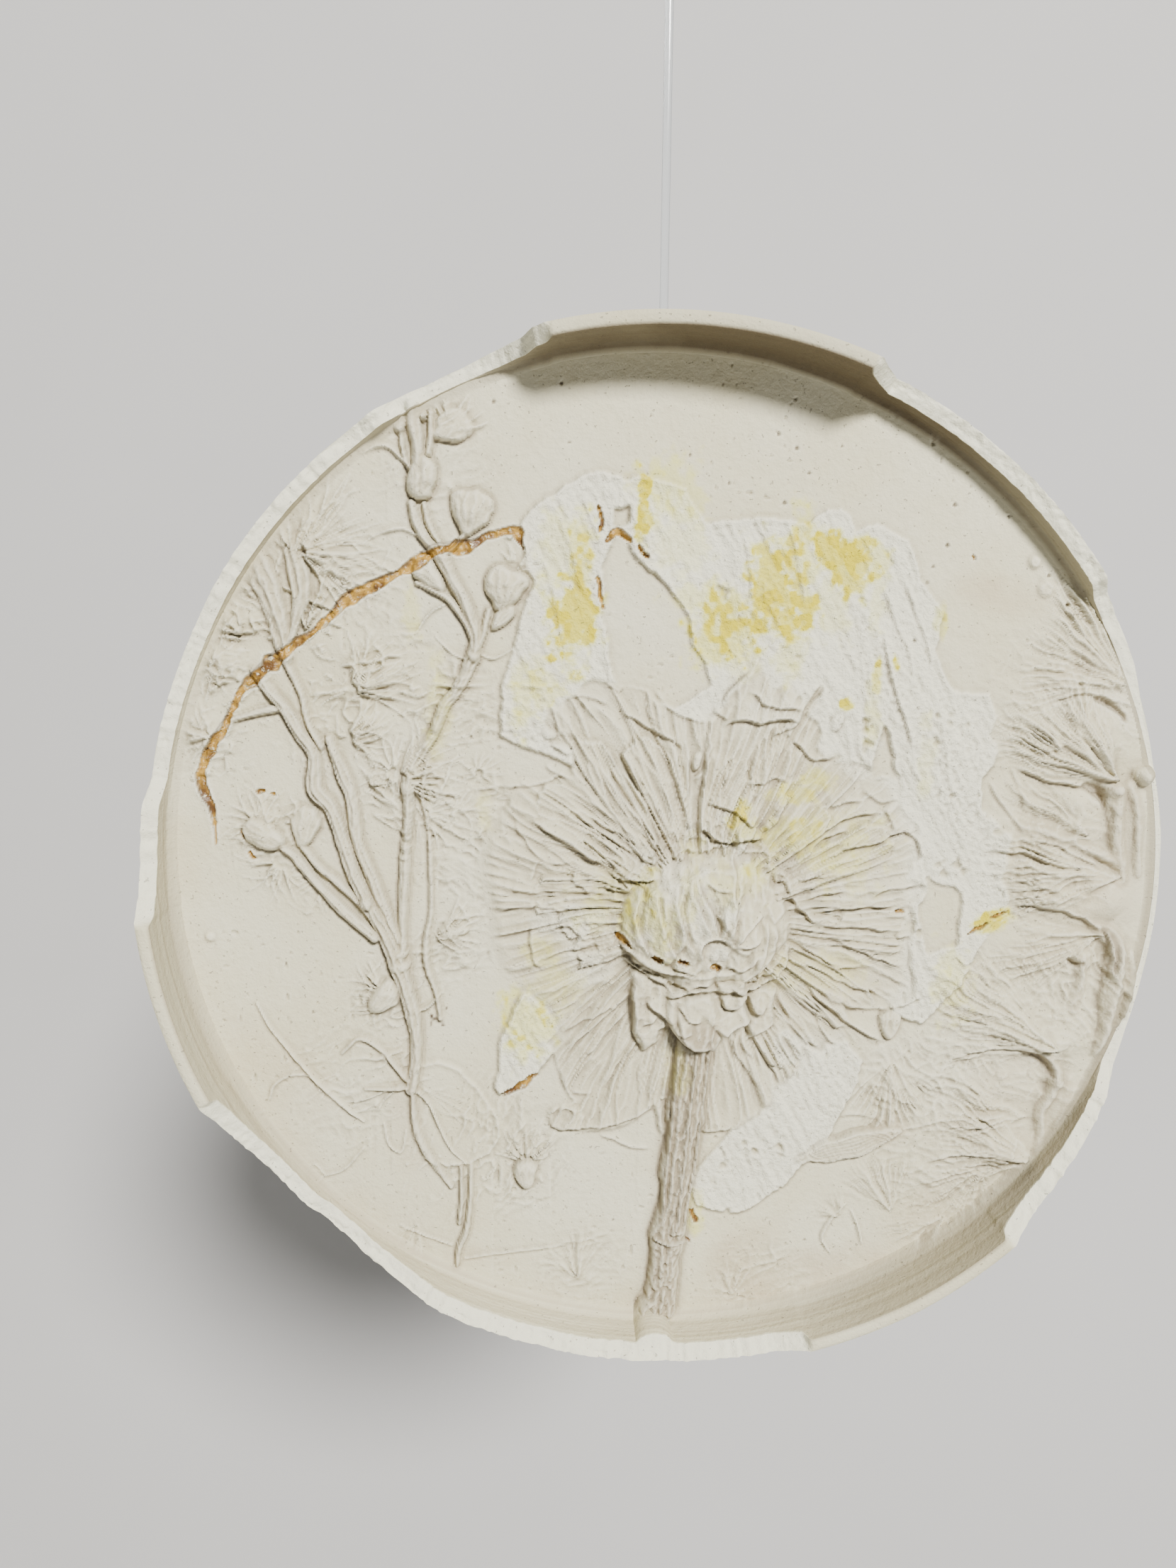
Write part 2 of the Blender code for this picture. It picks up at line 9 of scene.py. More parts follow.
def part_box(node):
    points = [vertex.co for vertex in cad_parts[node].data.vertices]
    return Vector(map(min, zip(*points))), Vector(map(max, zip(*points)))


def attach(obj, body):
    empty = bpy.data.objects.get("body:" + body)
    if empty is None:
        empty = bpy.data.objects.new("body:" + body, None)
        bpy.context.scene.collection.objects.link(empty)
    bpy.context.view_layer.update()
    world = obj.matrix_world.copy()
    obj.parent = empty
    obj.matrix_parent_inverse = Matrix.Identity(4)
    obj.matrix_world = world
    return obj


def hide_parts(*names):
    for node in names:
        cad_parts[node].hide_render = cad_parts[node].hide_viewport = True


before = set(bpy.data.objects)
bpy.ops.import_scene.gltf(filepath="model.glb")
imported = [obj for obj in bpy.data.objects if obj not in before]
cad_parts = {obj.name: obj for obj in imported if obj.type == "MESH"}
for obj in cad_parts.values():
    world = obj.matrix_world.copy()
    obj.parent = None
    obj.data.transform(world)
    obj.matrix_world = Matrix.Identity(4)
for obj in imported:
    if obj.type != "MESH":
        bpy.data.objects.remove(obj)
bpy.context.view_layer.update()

# The cast's field: a flat disc of white casting plaster, poured over plants that were laid out on
# clay and then pulled away. Its relief is worked out in millimetres from the dish's centre, with
# x to the right and z up, on an even mesh of points, and every plant below presses its own shape in.
DISH_RADIUS = 200.0
PLATE_THICKNESS = 8.0
ROD_TO_CENTRE = 5.5
POINT_SPACING = 0.62
CENTRE_BELOW_TOP = 201.2
FIELD_WAVES, FIELD_ROUGHNESS = 0.25, 0.10

rod_low, rod_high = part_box("hanging_rod")
cast_low, cast_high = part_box("plaster_relief")
dish_centre = Vector(((rod_low.x + rod_high.x) / 2 + ROD_TO_CENTRE / 1000,
                      cast_high.y - PLATE_THICKNESS / 1000,
                      cast_high.z - CENTRE_BELOW_TOP / 1000))

half_count = math.ceil((DISH_RADIUS + 3) / POINT_SPACING)
line = np.arange(-half_count, half_count + 1) * POINT_SPACING
across, up = np.meshgrid(line, line)
height = np.zeros_like(across)
shade_and_dust = np.zeros_like(across)
plant = np.zeros_like(across)
woody = np.zeros_like(across)


def lumps(x, z, size, seed):
    """Smooth random hills and hollows of about this size, from -1 to 1."""
    table = np.random.default_rng(seed).uniform(-1, 1, (64, 64))
    u, v = np.broadcast_arrays(np.asarray(x) / size + 7.3, np.asarray(z) / size + 3.1)
    i, j = np.floor(u).astype(int), np.floor(v).astype(int)
    s, t = u - i, v - j
    s, t = s * s * (3 - 2 * s), t * t * (3 - 2 * t)
    i, j, k, m = i % 64, j % 64, (i + 1) % 64, (j + 1) % 64
    lower = table[i, j] * (1 - s) + table[k, j] * s
    upper = table[i, m] * (1 - s) + table[k, m] * s
    return lower * (1 - t) + upper * t


def crumple(x, z, size, seed, layers=4):
    """Lumps on lumps, each layer half the size and half the height of the one before."""
    total = sum(lumps(x, z, size / 2 ** i, seed + i) / 2 ** i for i in range(layers))
    return total / (2 - 2 ** (1 - layers))


def sway(run, size, seed):
    """Smooth random ups and downs along a line, from -1 to 1."""
    return lumps(run, 0, size, seed)


def ridge(x, z, size, seed):
    """Sharp ridges of one size between shallow hollows, from 0 to 1."""
    return (1 - np.abs(lumps(x, z, size, seed))) ** 3


def creases(x, z, size, seed, layers=3):
    """Ridges on ridges, each layer half the size and half the height of the one before."""
    total = sum(ridge(x, z, size / 2 ** i, seed + i) / 2 ** i for i in range(layers))
    return total / (2 - 2 ** (1 - layers))


def ease(value):
    """A soft step from 0 to 1."""
    value = np.clip(value, 0, 1)
    return value * value * (3 - 2 * value)


def window(low_x, high_x, low_z, high_z):
    """The rows and columns of the field's points inside these limits."""
    rows = slice(*np.searchsorted(line, (low_z, high_z)))
    columns = slice(*np.searchsorted(line, (low_x, high_x)))
    return rows, columns


def round_window(x, z, reach):
    """The rows and columns of the points within reach of one point."""
    return window(x - reach, x + reach, z - reach, z + reach)


def along_and_across(x, z, degrees):
    """The same places measured along and across a line that is turned this far from the right."""
    turn = math.radians(degrees)
    return x * math.cos(turn) + z * math.sin(turn), z * math.cos(turn) - x * math.sin(turn)


def oval(x, z, half_width, half_length, degrees=0):
    """The points round an oval, and how far out each one lies: 1 is on the oval's edge."""
    here = round_window(x, z, 2 * max(half_width, half_length))
    u, v = along_and_across(across[here] - x, up[here] - z, degrees)
    return here, np.hypot(u / half_width, v / half_length)


def at_least(layer, here, values):
    """Raise a layer to these values where it is lower."""
    layer[here] = np.maximum(layer[here], values)


def soften(values, reach):
    """The values blurred over about this many millimetres."""
    count = max(1, round(reach / POINT_SPACING))
    kernel = np.ones(2 * count + 1) / (2 * count + 1)
    for axis in (0, 1):
        values = np.apply_along_axis(lambda row: np.convolve(row, kernel, "same"), axis, values)
    return values


height += FIELD_WAVES * crumple(across, up, 60, 1) + FIELD_ROUGHNESS * crumple(across, up, 4, 2)

# The skin of new white plaster that was scraped over the field round the flower's top, and the
# patches of it lower down. It is half a millimetre thick, torn at its edges and scratched by the
# scraper; a pale arch shows where none of it stuck.
SKIN_THICKNESS = 0.45
SKIN_LIP = 0.7
EDGE_WANDER = 1.6
SPOT_WANDER = 2.6
SCRAPED_TOWARDS = -62
PATCH_LEVELS = (-0.15, 0.12, 0.35)
WHITE_SKIN = (
    (-58, 130), (-49, 140), (-42, 144), (-35, 148), (-28, 149.5), (-22, 148), (-20, 146), (-14, 149),
    (4, 144), (8, 136), (12, 131), (22, 132), (37, 133), (50, 132), (53, 135), (63, 137), (66, 135),
    (68, 129), (71, 131), (77, 132), (82, 129), (88, 127), (91, 121), (95, 111), (104, 99), (103, 92),
    (101, 84), (105, 76), (110, 69), (123, 68), (127, 58), (125, 52), (128, 48), (127, 41), (123, 35),
    (124, 22), (136, 12), (133, -5), (137, -15), (131, -24), (118, -50), (104, -66), (92, -60), (60, -20),
    (0, 20), (-40, 40), (-66, 50), (-65, 69), (-61, 81), (-58, 95), (-53, 109), (-56, 114),
)
LOWER_RIGHT_SKIN = (
    (12, -136), (14, -143), (20, -145), (29, -147), (36, -146), (48, -136), (56, -128), (65, -120),
    (71, -106), (76, -97), (79, -87), (81, -81), (70, -68), (50, -70), (40, -90), (28, -110), (14, -128),
)
LOWER_LEFT_SKIN = (
    (-50, -51), (-58, -53), (-66, -73), (-68, -91), (-66, -95), (-60, -93), (-51, -86), (-43, -75),
    (-27, -55), (-36, -44),
)
BARE_ARCH = (
    (-27, 96), (-27, 114), (-24, 124), (-22, 127), (-18, 124), (-13, 117), (-8, 112), (-3, 109), (1, 104),
    (6, 95), (7, 86), (11, 79), (16, 70), (0, 62), (-22, 70),
)
BARE_SPOTS = (
    ((-23, 137), (-17, 138), (-17, 130), (-22, 129)), ((16, 109), (22, 108), (19, 103)),
    ((79, 34), (82, 55), (90, 36)), ((104, -6), (117, -12), (116, -33), (103, -36), (101, -20)),
)


def inside(outline, wander, seed):
    """1 inside a torn outline and 0 outside it, with an edge that wanders."""
    corners = np.array(outline, float)
    here = window(corners[:, 0].min() - 6, corners[:, 0].max() + 6,
                  corners[:, 1].min() - 6, corners[:, 1].max() + 6)
    x = across[here] + wander * crumple(across[here], up[here], 9, seed)
    z = up[here] + wander * crumple(across[here], up[here], 9, seed + 20)
    covered = np.zeros(x.shape, bool)
    for (x0, z0), (x1, z1) in zip(corners, np.roll(corners, -1, 0)):
        if z0 != z1:
            crossing = (z0 > z) != (z1 > z)
            covered ^= crossing & (x < (x1 - x0) * (z - z0) / (z1 - z0) + x0)
    mask = np.zeros_like(height)
    mask[here] = covered
    return mask


white = np.zeros_like(height)
for outline, seed in ((WHITE_SKIN, 31), (LOWER_RIGHT_SKIN, 33), (LOWER_LEFT_SKIN, 35)):
    white = np.maximum(white, inside(outline, EDGE_WANDER, seed))
white *= 1 - inside(BARE_ARCH, EDGE_WANDER, 37)
for spot in BARE_SPOTS:
    white *= 1 - inside(spot, SPOT_WANDER, 39)
torn = crumple(across, up, 7, 41) + 0.5 * crumple(across, up, 2, 43)
worn_through = (torn > 0.62) & (across > 20) & (up < 60)
white *= 1 - worn_through
scrape, scrape_side = along_and_across(across, up, SCRAPED_TOWARDS)
skin_edge = np.clip(white - soften(white, 2.5), 0, 1)
white = soften(white, POINT_SPACING)
strokes = lumps(scrape * 0.2, scrape_side, 1.6, 47) + lumps(scrape * 0.12, scrape_side, 4.5, 48)
patchy = crumple(scrape * 0.35, scrape_side, 16, 44)
thick_patches = sum(ease(0.5 + 6 * (patchy - level)) for level in PATCH_LEVELS)
grit = (0.04 + 0.10 * thick_patches) * crumple(across, up, 1.6, 49, 2)
waves = 0.3 * thick_patches + 0.25 * crumple(scrape, scrape_side, 11, 45) + 0.15 * strokes
height += white * (SKIN_THICKNESS + waves + grit) + SKIN_LIP * skin_edge


# Stems: each plant's stalk left a groove in the clay, so it stands out of the plaster as a ribbed
# round bar, with a fine line of painted shadow where it meets the field, mostly on the side away
# from the light. A stalk, thread or leaf is listed as the points along it, each with x, z, half
# width and height.
def smoothed(points, steps=6):
    """A smooth line through the points, whose widths and heights change smoothly too."""
    knots = np.array(points, float)
    knots = np.vstack([2 * knots[0] - knots[1], knots, 2 * knots[-1] - knots[-2]])
    path = []
    for a, b, c, d in zip(knots, knots[1:], knots[2:], knots[3:]):
        for t in np.arange(steps) / steps:
            path.append(0.5 * (2 * b + (c - a) * t + (2 * a - 5 * b + 4 * c - d) * t ** 2
                               + (3 * b - a - 3 * c + d) * t ** 3))
    path.append(knots[-2])
    return np.array(path)


def along(points, reach):
    """How the field lies to a line: its window, the side and run there, and the line's own values."""
    path = smoothed(points)
    here = window(path[:, 0].min() - reach, path[:, 0].max() + reach,
                  path[:, 1].min() - reach, path[:, 1].max() + reach)
    x, z = across[here], up[here]
    nearest = np.full(x.shape, 1e6)
    side, run = np.zeros_like(x), np.zeros_like(x)
    own = [np.zeros_like(x) for _ in range(path.shape[1] - 2)]
    start = 0.0
    for a, b in zip(path, path[1:]):
        step_x, step_z = b[:2] - a[:2]
        length = math.hypot(step_x, step_z)
        share = np.clip(((x - a[0]) * step_x + (z - a[1]) * step_z) / length ** 2, 0, 1)
        off_x, off_z = x - a[0] - share * step_x, z - a[1] - share * step_z
        distance = np.hypot(off_x, off_z)
        closer = distance < nearest
        nearest[closer] = distance[closer]
        side[closer] = (np.sign(step_x * off_z - step_z * off_x) * distance)[closer]
        run[closer] = (start + share * length)[closer]
        for value, low, high in zip(own, a[2:], b[2:]):
            value[closer] = (low + share * (high - low))[closer]
        start += length
    return here, side, run / start, run, own


def shaded_sign(points):
    """1 where the left-hand side of a line drawn this way faces away from the light, else -1."""
    run_x, run_z = points[-1][0] - points[0][0], points[-1][1] - points[0][1]
    return 1 if run_x * 0.6 - run_z * 0.4 < 0 else -1


def press_stem(points, ribs=2.0, roughness=0.3, seed=0, bark=0.3, fibre=0.3, rib_height=0.10):
    """A stalk along a line of x, z, half width and height."""
    here, side, _, run, (width, lift) = along(points, 9)
    width = np.maximum(width * (1 + 0.12 * sway(run, 9, seed)), 0.3)
    u = side / width + 0.16 * crumple(run * 0.5, side, 5, seed + 3)
    crown = np.clip(1 - np.abs(u) ** 2.2, 0, 1) ** 0.6
    ribbing = rib_height * lift * np.cos(ribs * math.pi * u + 1.4 * sway(run, 16, seed + 1))
    fibres = fibre * creases(run * 0.16, side, 1.3, seed + 4)
    fibres += 0.30 * crumple(run, side * 1.5, 2.6, seed + 5)
    skin = roughness * lumps(run, side * 3, 3.2, seed + 2)
    shape = crown * (0.85 * lift + ribbing + skin + fibres)
    at_least(height, here, shape)
    # Painted shadow: a dark line along the stalk's edge, strongest on the side away from the light.
    shaded_side = np.where(side * shaded_sign(points) > 0, 1.0, 0.1)
    shade_and_dust[here] += 0.3 * shaded_side * np.exp(-((np.abs(side) - width) / 0.6) ** 2)
    at_least(plant, here, ease(2.5 - np.abs(u) * 1.6))
    at_least(woody, here, bark * ease(2.2 - np.abs(u) * 1.6))


def press_hair(points, seed=0):
    """A thread, tendril or fine leaf: a low sharp line."""
    here, side, _, run, (width, lift) = along(points, 3)
    shape = lift * np.clip(1 - np.abs(side / width), 0, 1) * (1 + 0.3 * lumps(run, side, 4, seed))
    at_least(height, here, height[here] * 0.6 + shape)


# The plant at the upper left: a slender stalk with opening buds, forked below them, and thin
# curled leaves. Each bud is an egg of overlapping scales with a frayed crown. A bud's row holds its
# x, z, half width, half length, lean, height, number of scales and flare.
TALL_STALKS = (
    ((-98.5, 137, 1.6, 2.6), (-97, 131, 1.8, 3.0), (-94, 125, 2.0, 3.2), (-89, 119, 2.3, 3.6),
     (-84, 110, 2.4, 3.8), (-80, 103, 2.5, 3.8), (-77, 95, 2.4, 3.6), (-75, 88, 2.3, 3.4),
     (-76, 80, 2.6, 4.0)),
    ((-76, 82, 2.4, 3.8), (-79, 74, 2.4, 3.4), (-83, 67, 2.4, 3.4), (-87, 62, 2.4, 3.4),
     (-91, 52, 2.5, 3.4), (-95, 46, 2.5, 3.4), (-99, 39, 2.6, 3.6), (-101, 30, 2.9, 3.9),
     (-101, 19, 2.2, 3.2), (-102.5, 7, 2.1, 3.0), (-103.5, -12, 2.1, 3.0), (-104.5, -30, 2.3, 3.2),
     (-105, -36, 2.8, 3.8)),
    ((-98, 172, 2.7, 3.6), (-97, 165, 2.6, 3.8), (-96, 158, 2.5, 4.0), (-96, 151, 2.6, 4.4)),
    ((-91, 170, 1.2, 2.4), (-91, 162, 1.3, 2.8), (-92, 155, 1.4, 3.0)),
    ((-102, 162, 1.0, 2.0), (-101, 155, 1.0, 2.2), (-99, 150, 1.1, 2.4)),
    ((-94, 137, 1.0, 2.0), (-92, 129, 1.2, 2.4), (-88, 122, 1.3, 2.8), (-84, 113, 1.2, 2.8)),
    ((-97, 108, 0.9, 1.6), (-91, 105.5, 1.3, 2.4), (-85, 102, 1.3, 2.6), (-79, 94, 1.3, 2.8),
     (-76, 87, 1.2, 2.6)),
    ((-70, 98, 1.1, 2.2), (-72, 90, 1.3, 2.6), (-75, 82, 1.5, 3.0)),
    ((-79, 126, 0.9, 2.0), (-83, 121, 1.0, 2.2), (-88, 118, 1.0, 2.4)),
)
SLENDER_STALK = (
    (-94, 37, 1.2, 1.6), (-96, 28, 1.0, 1.5), (-94, 18, 1.1, 1.5), (-93, 5, 1.1, 1.5),
    (-93, -18, 1.2, 1.6), (-95, -30, 1.3, 1.8), (-95, -40, 1.6, 2.2), (-93, -47, 1.2, 2.0),
    (-91, -54, 1.0, 1.8), (-90, -63, 0.9, 1.4),
)
CURLED_LEAVES = (
    ((-116, 155, 0.5, 0.5), (-111, 157.5, 0.9, 1.2), (-106, 157, 1.0, 1.4), (-100, 151, 0.8, 1.6)),
    ((-116, 123, 0.5, 0.5), (-111, 126, 0.8, 1.0), (-102, 128, 0.9, 1.3), (-94, 124, 0.8, 1.5)),
    ((-74, 82, 0.7, 1.2), (-69, 80, 0.7, 1.0), (-64, 82, 0.6, 0.8), (-58, 86, 0.5, 0.5)),
    ((-77, 79, 0.6, 1.2), (-84, 82, 0.6, 1.0), (-90, 88, 0.5, 0.6)),
    ((-87, 100, 0.6, 1.0), (-92, 97, 0.6, 0.9), (-97, 90, 0.5, 0.6)),
    ((-60, 112, 0.6, 0.8), (-55, 120, 0.7, 1.0), (-54, 126, 0.5, 0.6)),
)
OPEN_BUDS = (
    (-94.5, 146.5, 5.8, 8.6, 8, 5.8, 5, -0.1), (-76.5, 134, 7.6, 9.0, 14, 5.2, 5, 0.5),
    (-64, 106, 7.8, 8.6, 18, 5.2, 5, 0.3), (-103, 166, 2.6, 4.2, -10, 3.4, 4),
    (-84, 165, 6.0, 8.0, 62, 3.8, 6, 0.5), (-65, 95.5, 3.2, 6.0, 40, 3.2, 4, 0.4),
    (-94, 168, 1.4, 1.5, 0, 4.4, 3), (-64, 107.5, 2.6, 2.6, 0, 6.4, 4),
    (-92, 110.5, 4.2, 7.6, -42, 4.0, 5, 0.4), (-76, 80.5, 2.6, 2.4, 0, 4.8, 3),
    (-101.5, 30, 3.0, 3.4, 0, 4.4, 4), (-105, -36, 3.0, 2.6, 0, 4.4, 4),
)
BUD_CROWNS = ((-86, 163, 0, 90, 5, 16, 1.4, 14, 91), (-62, 112, 10, 100, 5, 11, 0.7, 6, 93))


def press_bud(x, z, half_width, half_length, lean, lift, scales, flare=0.22, seed=0):
    """A bud wrapped in scales; its lean is from upright, and it flares towards its upper end."""
    here = round_window(x, z, max(half_width, half_length) + 4)
    off_x, off_z = across[here] - x, up[here] - z
    u, v = along_and_across(off_x, off_z, -lean)
    u, v = u / half_width, v / half_length
    u = u / (1 + flare * np.clip(v, -1, 1)) + 0.12 * lumps(off_x, off_z, 4, seed)
    v = v + 0.12 * lumps(off_x, off_z, 4, seed + 1)
    r = u * u + v * v
    body = lift * np.sqrt(np.clip(1 - r, 0, 1))
    round_bud = u / np.sqrt(np.clip(1.1 - v * v, 0.15, 1)) + 0.3 * v
    seam = np.abs(np.sin(scales * math.pi / 2 * round_bud))
    body *= 0.95 + 0.05 * seam + 0.10 * lumps(off_x, off_z, 4.5, seed + 3)
    body += 0.8 * (creases(u * 1.4, v * 0.45, 0.5, seed + 2) - 0.4) * (r < 1) * ease(v + 0.9)
    at_least(height, here, body)
    # Painted shade: a dark ring where the bud meets the field.
    shade_and_dust[here] += 0.25 * np.exp(-((np.sqrt(r) - 1) / 0.12) ** 2)
    at_least(plant, here, ease(2.2 - 1.3 * r))


def frayed_crown(x, z, start, stop, inner, outer, lift, hairs, seed):
    """The frayed petals and hairs that spread from a bud or head, each its own low curved line."""
    rng = np.random.default_rng(seed)
    for share in np.linspace(0, 1, hairs):
        turn = math.radians(start + (stop - start) * share + rng.normal(0, 5))
        bend = math.radians(rng.normal(0, 16))
        reach = outer * rng.uniform(0.72, 1.08)
        points = []
        for t in (0.0, 0.35, 0.7, 1.0):
            r = inner + (reach - inner) * t
            points.append((x + r * math.cos(turn + bend * t), z + r * math.sin(turn + bend * t),
                           0.9 - 0.35 * t, lift * (1 - t) ** 0.8 + 0.18))
        press_hair(points, seed)


for number, stalk in enumerate(TALL_STALKS):
    press_stem(stalk, seed=50 + number)
press_stem(SLENDER_STALK, ribs=1.0, roughness=0.15, seed=61)
for number, leaf in enumerate(CURLED_LEAVES):
    press_hair(leaf, 70 + number)
for number, bud in enumerate(OPEN_BUDS):
    press_bud(*bud, seed=80 + number)
for crown in BUD_CROWNS:
    frayed_crown(*crown)

# The stout plant at the left: a thick fibrous stalk beside a flatter one, side branches, and heads
# whose ruffled petals were pressed flat. Round each head the field is a mass of fine wrinkles. The
# rows of heads, tufts, mounds and wrinkled patches hold what the function that makes them takes.
STOUT_STALKS = (
    ((-158, 74, 2.0, 2.6), (-152, 66, 2.3, 3.2), (-147, 60, 2.4, 3.4), (-142, 51, 2.4, 3.4),
     (-137, 43, 2.4, 3.4), (-137, 30, 3.1, 4.4), (-131, 22, 2.8, 4.0), (-127, 10, 2.8, 4.0),
     (-122, -6, 2.9, 4.2), (-116, -18, 3.1, 4.4), (-110, -30, 3.4, 4.8), (-106, -41, 3.8, 5.4),
     (-104, -48, 3.3, 4.8), (-101, -60, 3.0, 4.2), (-99.5, -71, 2.6, 3.8), (-100, -82, 2.2, 3.4),
     (-102, -92, 2.4, 3.4)),
    ((-131, 49, 1.8, 2.6), (-129, 43, 2.3, 3.0), (-126, 35, 2.6, 3.2), (-123, 26, 2.6, 3.2),
     (-121, 9, 2.4, 3.0), (-117, -2, 2.4, 3.2), (-112, -16, 2.3, 3.4), (-106, -31, 2.0, 3.6)),
    ((-162, 118, 0.9, 1.4), (-158, 109, 1.2, 1.8), (-152, 96, 1.5, 2.2), (-149, 84, 1.6, 2.4),
     (-145, 75, 1.5, 2.2), (-141, 66, 1.4, 2.2), (-139, 56, 1.3, 2.2), (-134, 46, 1.4, 2.4)),
    ((-168, 56, 1.2, 1.6), (-158, 59, 1.5, 2.2), (-149, 61, 1.6, 2.6)),
    ((-162, 124, 4.0, 2.2), (-158, 117, 5.6, 3.4), (-153, 107, 5.0, 3.8), (-149, 97, 3.6, 3.6),
     (-147, 88, 2.4, 3.0), (-146, 78, 2.0, 2.6)),
    ((-143, 119, 3.4, 2.0), (-141, 112, 4.4, 3.4), (-140, 103, 3.6, 3.6), (-142, 95, 2.4, 3.0),
     (-145, 86, 1.8, 2.4)),
    ((-152, 9, 1.7, 2.6), (-145, 3, 2.0, 3.2), (-138, -6, 2.1, 3.4), (-131, -14, 2.2, 3.6),
     (-124, -21, 2.4, 3.8), (-115, -29, 2.6, 4.2)),
    ((-142, 7, 1.3, 2.4), (-136, -1, 1.4, 2.6), (-129, -7, 1.5, 2.8), (-121, -15, 1.5, 3.0),
     (-115, -22, 1.6, 3.2)),
    ((-120, -92, 0.9, 1.4), (-111, -92, 1.1, 1.8), (-103, -91, 1.3, 2.4)),
    ((-129, -77, 0.7, 0.8), (-122, -71, 1.0, 1.4), (-114, -75, 1.2, 1.8), (-108, -82, 1.3, 2.2),
     (-102, -90, 1.3, 2.4)),
    ((-78, -125, 1.0, 1.8), (-78.5, -140, 1.1, 2.2), (-80, -153, 1.3, 2.6), (-83, -161, 1.2, 2.2),
     (-84, -169, 0.8, 1.2)),
    ((-82, -126, 0.8, 1.4), (-82, -140, 0.9, 1.8), (-83, -150, 1.0, 2.0)),
    ((-100, -84, 1.2, 2.2), (-101, -98, 1.4, 2.0), (-99, -112, 1.5, 1.8), (-93, -124, 1.6, 1.6),
     (-86, -134, 1.2, 1.2)),
)
LEFT_THREADS = (
    ((-130, -98, 0.5, 0.5), (-121, -96.5, 0.7, 0.9), (-112, -93, 0.7, 1.1), (-104, -91, 0.7, 1.2)),
    ((-115, -101, 0.5, 0.6), (-112, -96, 0.6, 0.9), (-107, -92, 0.7, 1.0)),
    ((-162, -56, 0.6, 0.6), (-157, -66, 0.9, 1.1), (-151, -74, 1.1, 1.4), (-144, -83, 1.3, 1.7),
     (-136, -92, 1.5, 1.9), (-129, -99, 1.3, 1.7), (-121, -106, 0.7, 0.7)),
    ((-158, -96, 0.6, 0.6), (-156, -90, 0.8, 0.9), (-149, -86, 0.8, 1.0), (-141, -87, 0.8, 1.0),
     (-138, -93, 0.6, 0.7)),
    ((-121, -117, 0.6, 0.7), (-129, -126, 0.7, 0.9), (-137, -129, 0.6, 0.7)),
    ((-137, -129, 0.5, 0.6), (-141, -124, 0.6, 0.7), (-144, -126, 0.4, 0.4)),
    ((-137, -129, 0.5, 0.6), (-142, -133, 0.6, 0.7), (-145, -131, 0.4, 0.4)),
    ((-107, -151, 0.6, 0.6), (-96, -156, 0.7, 0.8), (-86, -160, 0.7, 0.8)),
    ((-81, -166, 0.6, 0.8), (-68, -164, 0.8, 0.8), (-50, -162, 0.7, 0.7), (-40, -161, 0.5, 0.5)),
    ((-113, -107, 0.6, 0.7), (-111, -116, 0.7, 0.9), (-106, -119, 0.6, 0.7), (-104, -110, 0.5, 0.6)),
    ((-105, -53, 0.8, 1.8), (-101, -59, 0.9, 1.8), (-95, -58, 0.9, 1.6), (-89, -52, 0.6, 0.8)),
)
RUFFLED_HEADS = (
    (-141, 116, -30, 150, 27, 2.4, 5, 101), (-150, 104, 60, 200, 24, 2.2, 4, 102),
    (-162, 88, 70, 240, 17, 2.4, 4, 103), (-168, 72, 90, 250, 14, 1.8, 4, 104),
    (-118, 68, -60, 140, 17, 2.4, 5, 105), (-122, 48, -90, 90, 14, 2.2, 4, 106),
    (-116, 32, -80, 80, 13, 1.8, 4, 107), (-174, 50, 90, 270, 17, 1.8, 4, 108),
    (-154, 11, 40, 220, 15, 3.2, 5, 109), (-141, 12, 20, 160, 13, 2.6, 4, 110),
    (-112, -50, 100, 250, 12, 3.0, 4, 111), (-96, 36, -60, 90, 13, 1.4, 4, 112),
    (-91, -28, -50, 60, 15, 1.8, 4, 113), (-55, -124, 10, 170, 19, 2.2, 5, 114),
    (-139, 90, 50, 120, 30, 2.4, 4, 115), (-126, 108, -50, 60, 20, 1.4, 4, 116),
)
WRINKLED_GROUND = (
    (-148, 96, 50, 1.3, -30), (-118, 66, 40, 1.5, 15), (-92, 60, 34, 0.9, 0), (-150, 10, 30, 0.9, 20),
    (-100, 26, 36, 1.5, -20), (-76, 20, 28, 0.8, 10), (-84, 0, 30, 0.8, -15), (-90, 150, 34, 0.4, 40),
    (-78, -120, 44, 0.8, 60), (-120, -90, 40, 0.7, 20), (-60, -125, 28, 1.0, 50),
    (-108, -50, 26, 1.1, 40), (-172, 52, 26, 1.1, 20), (-86, -30, 24, 1.1, 20), (-60, 60, 26, 0.4, 0),
    (-136, -14, 26, 0.6, -40), (-128, 40, 26, 0.9, -60), (-166, 80, 26, 1.2, 10),
    (-124, 112, 30, 0.9, -35),
)


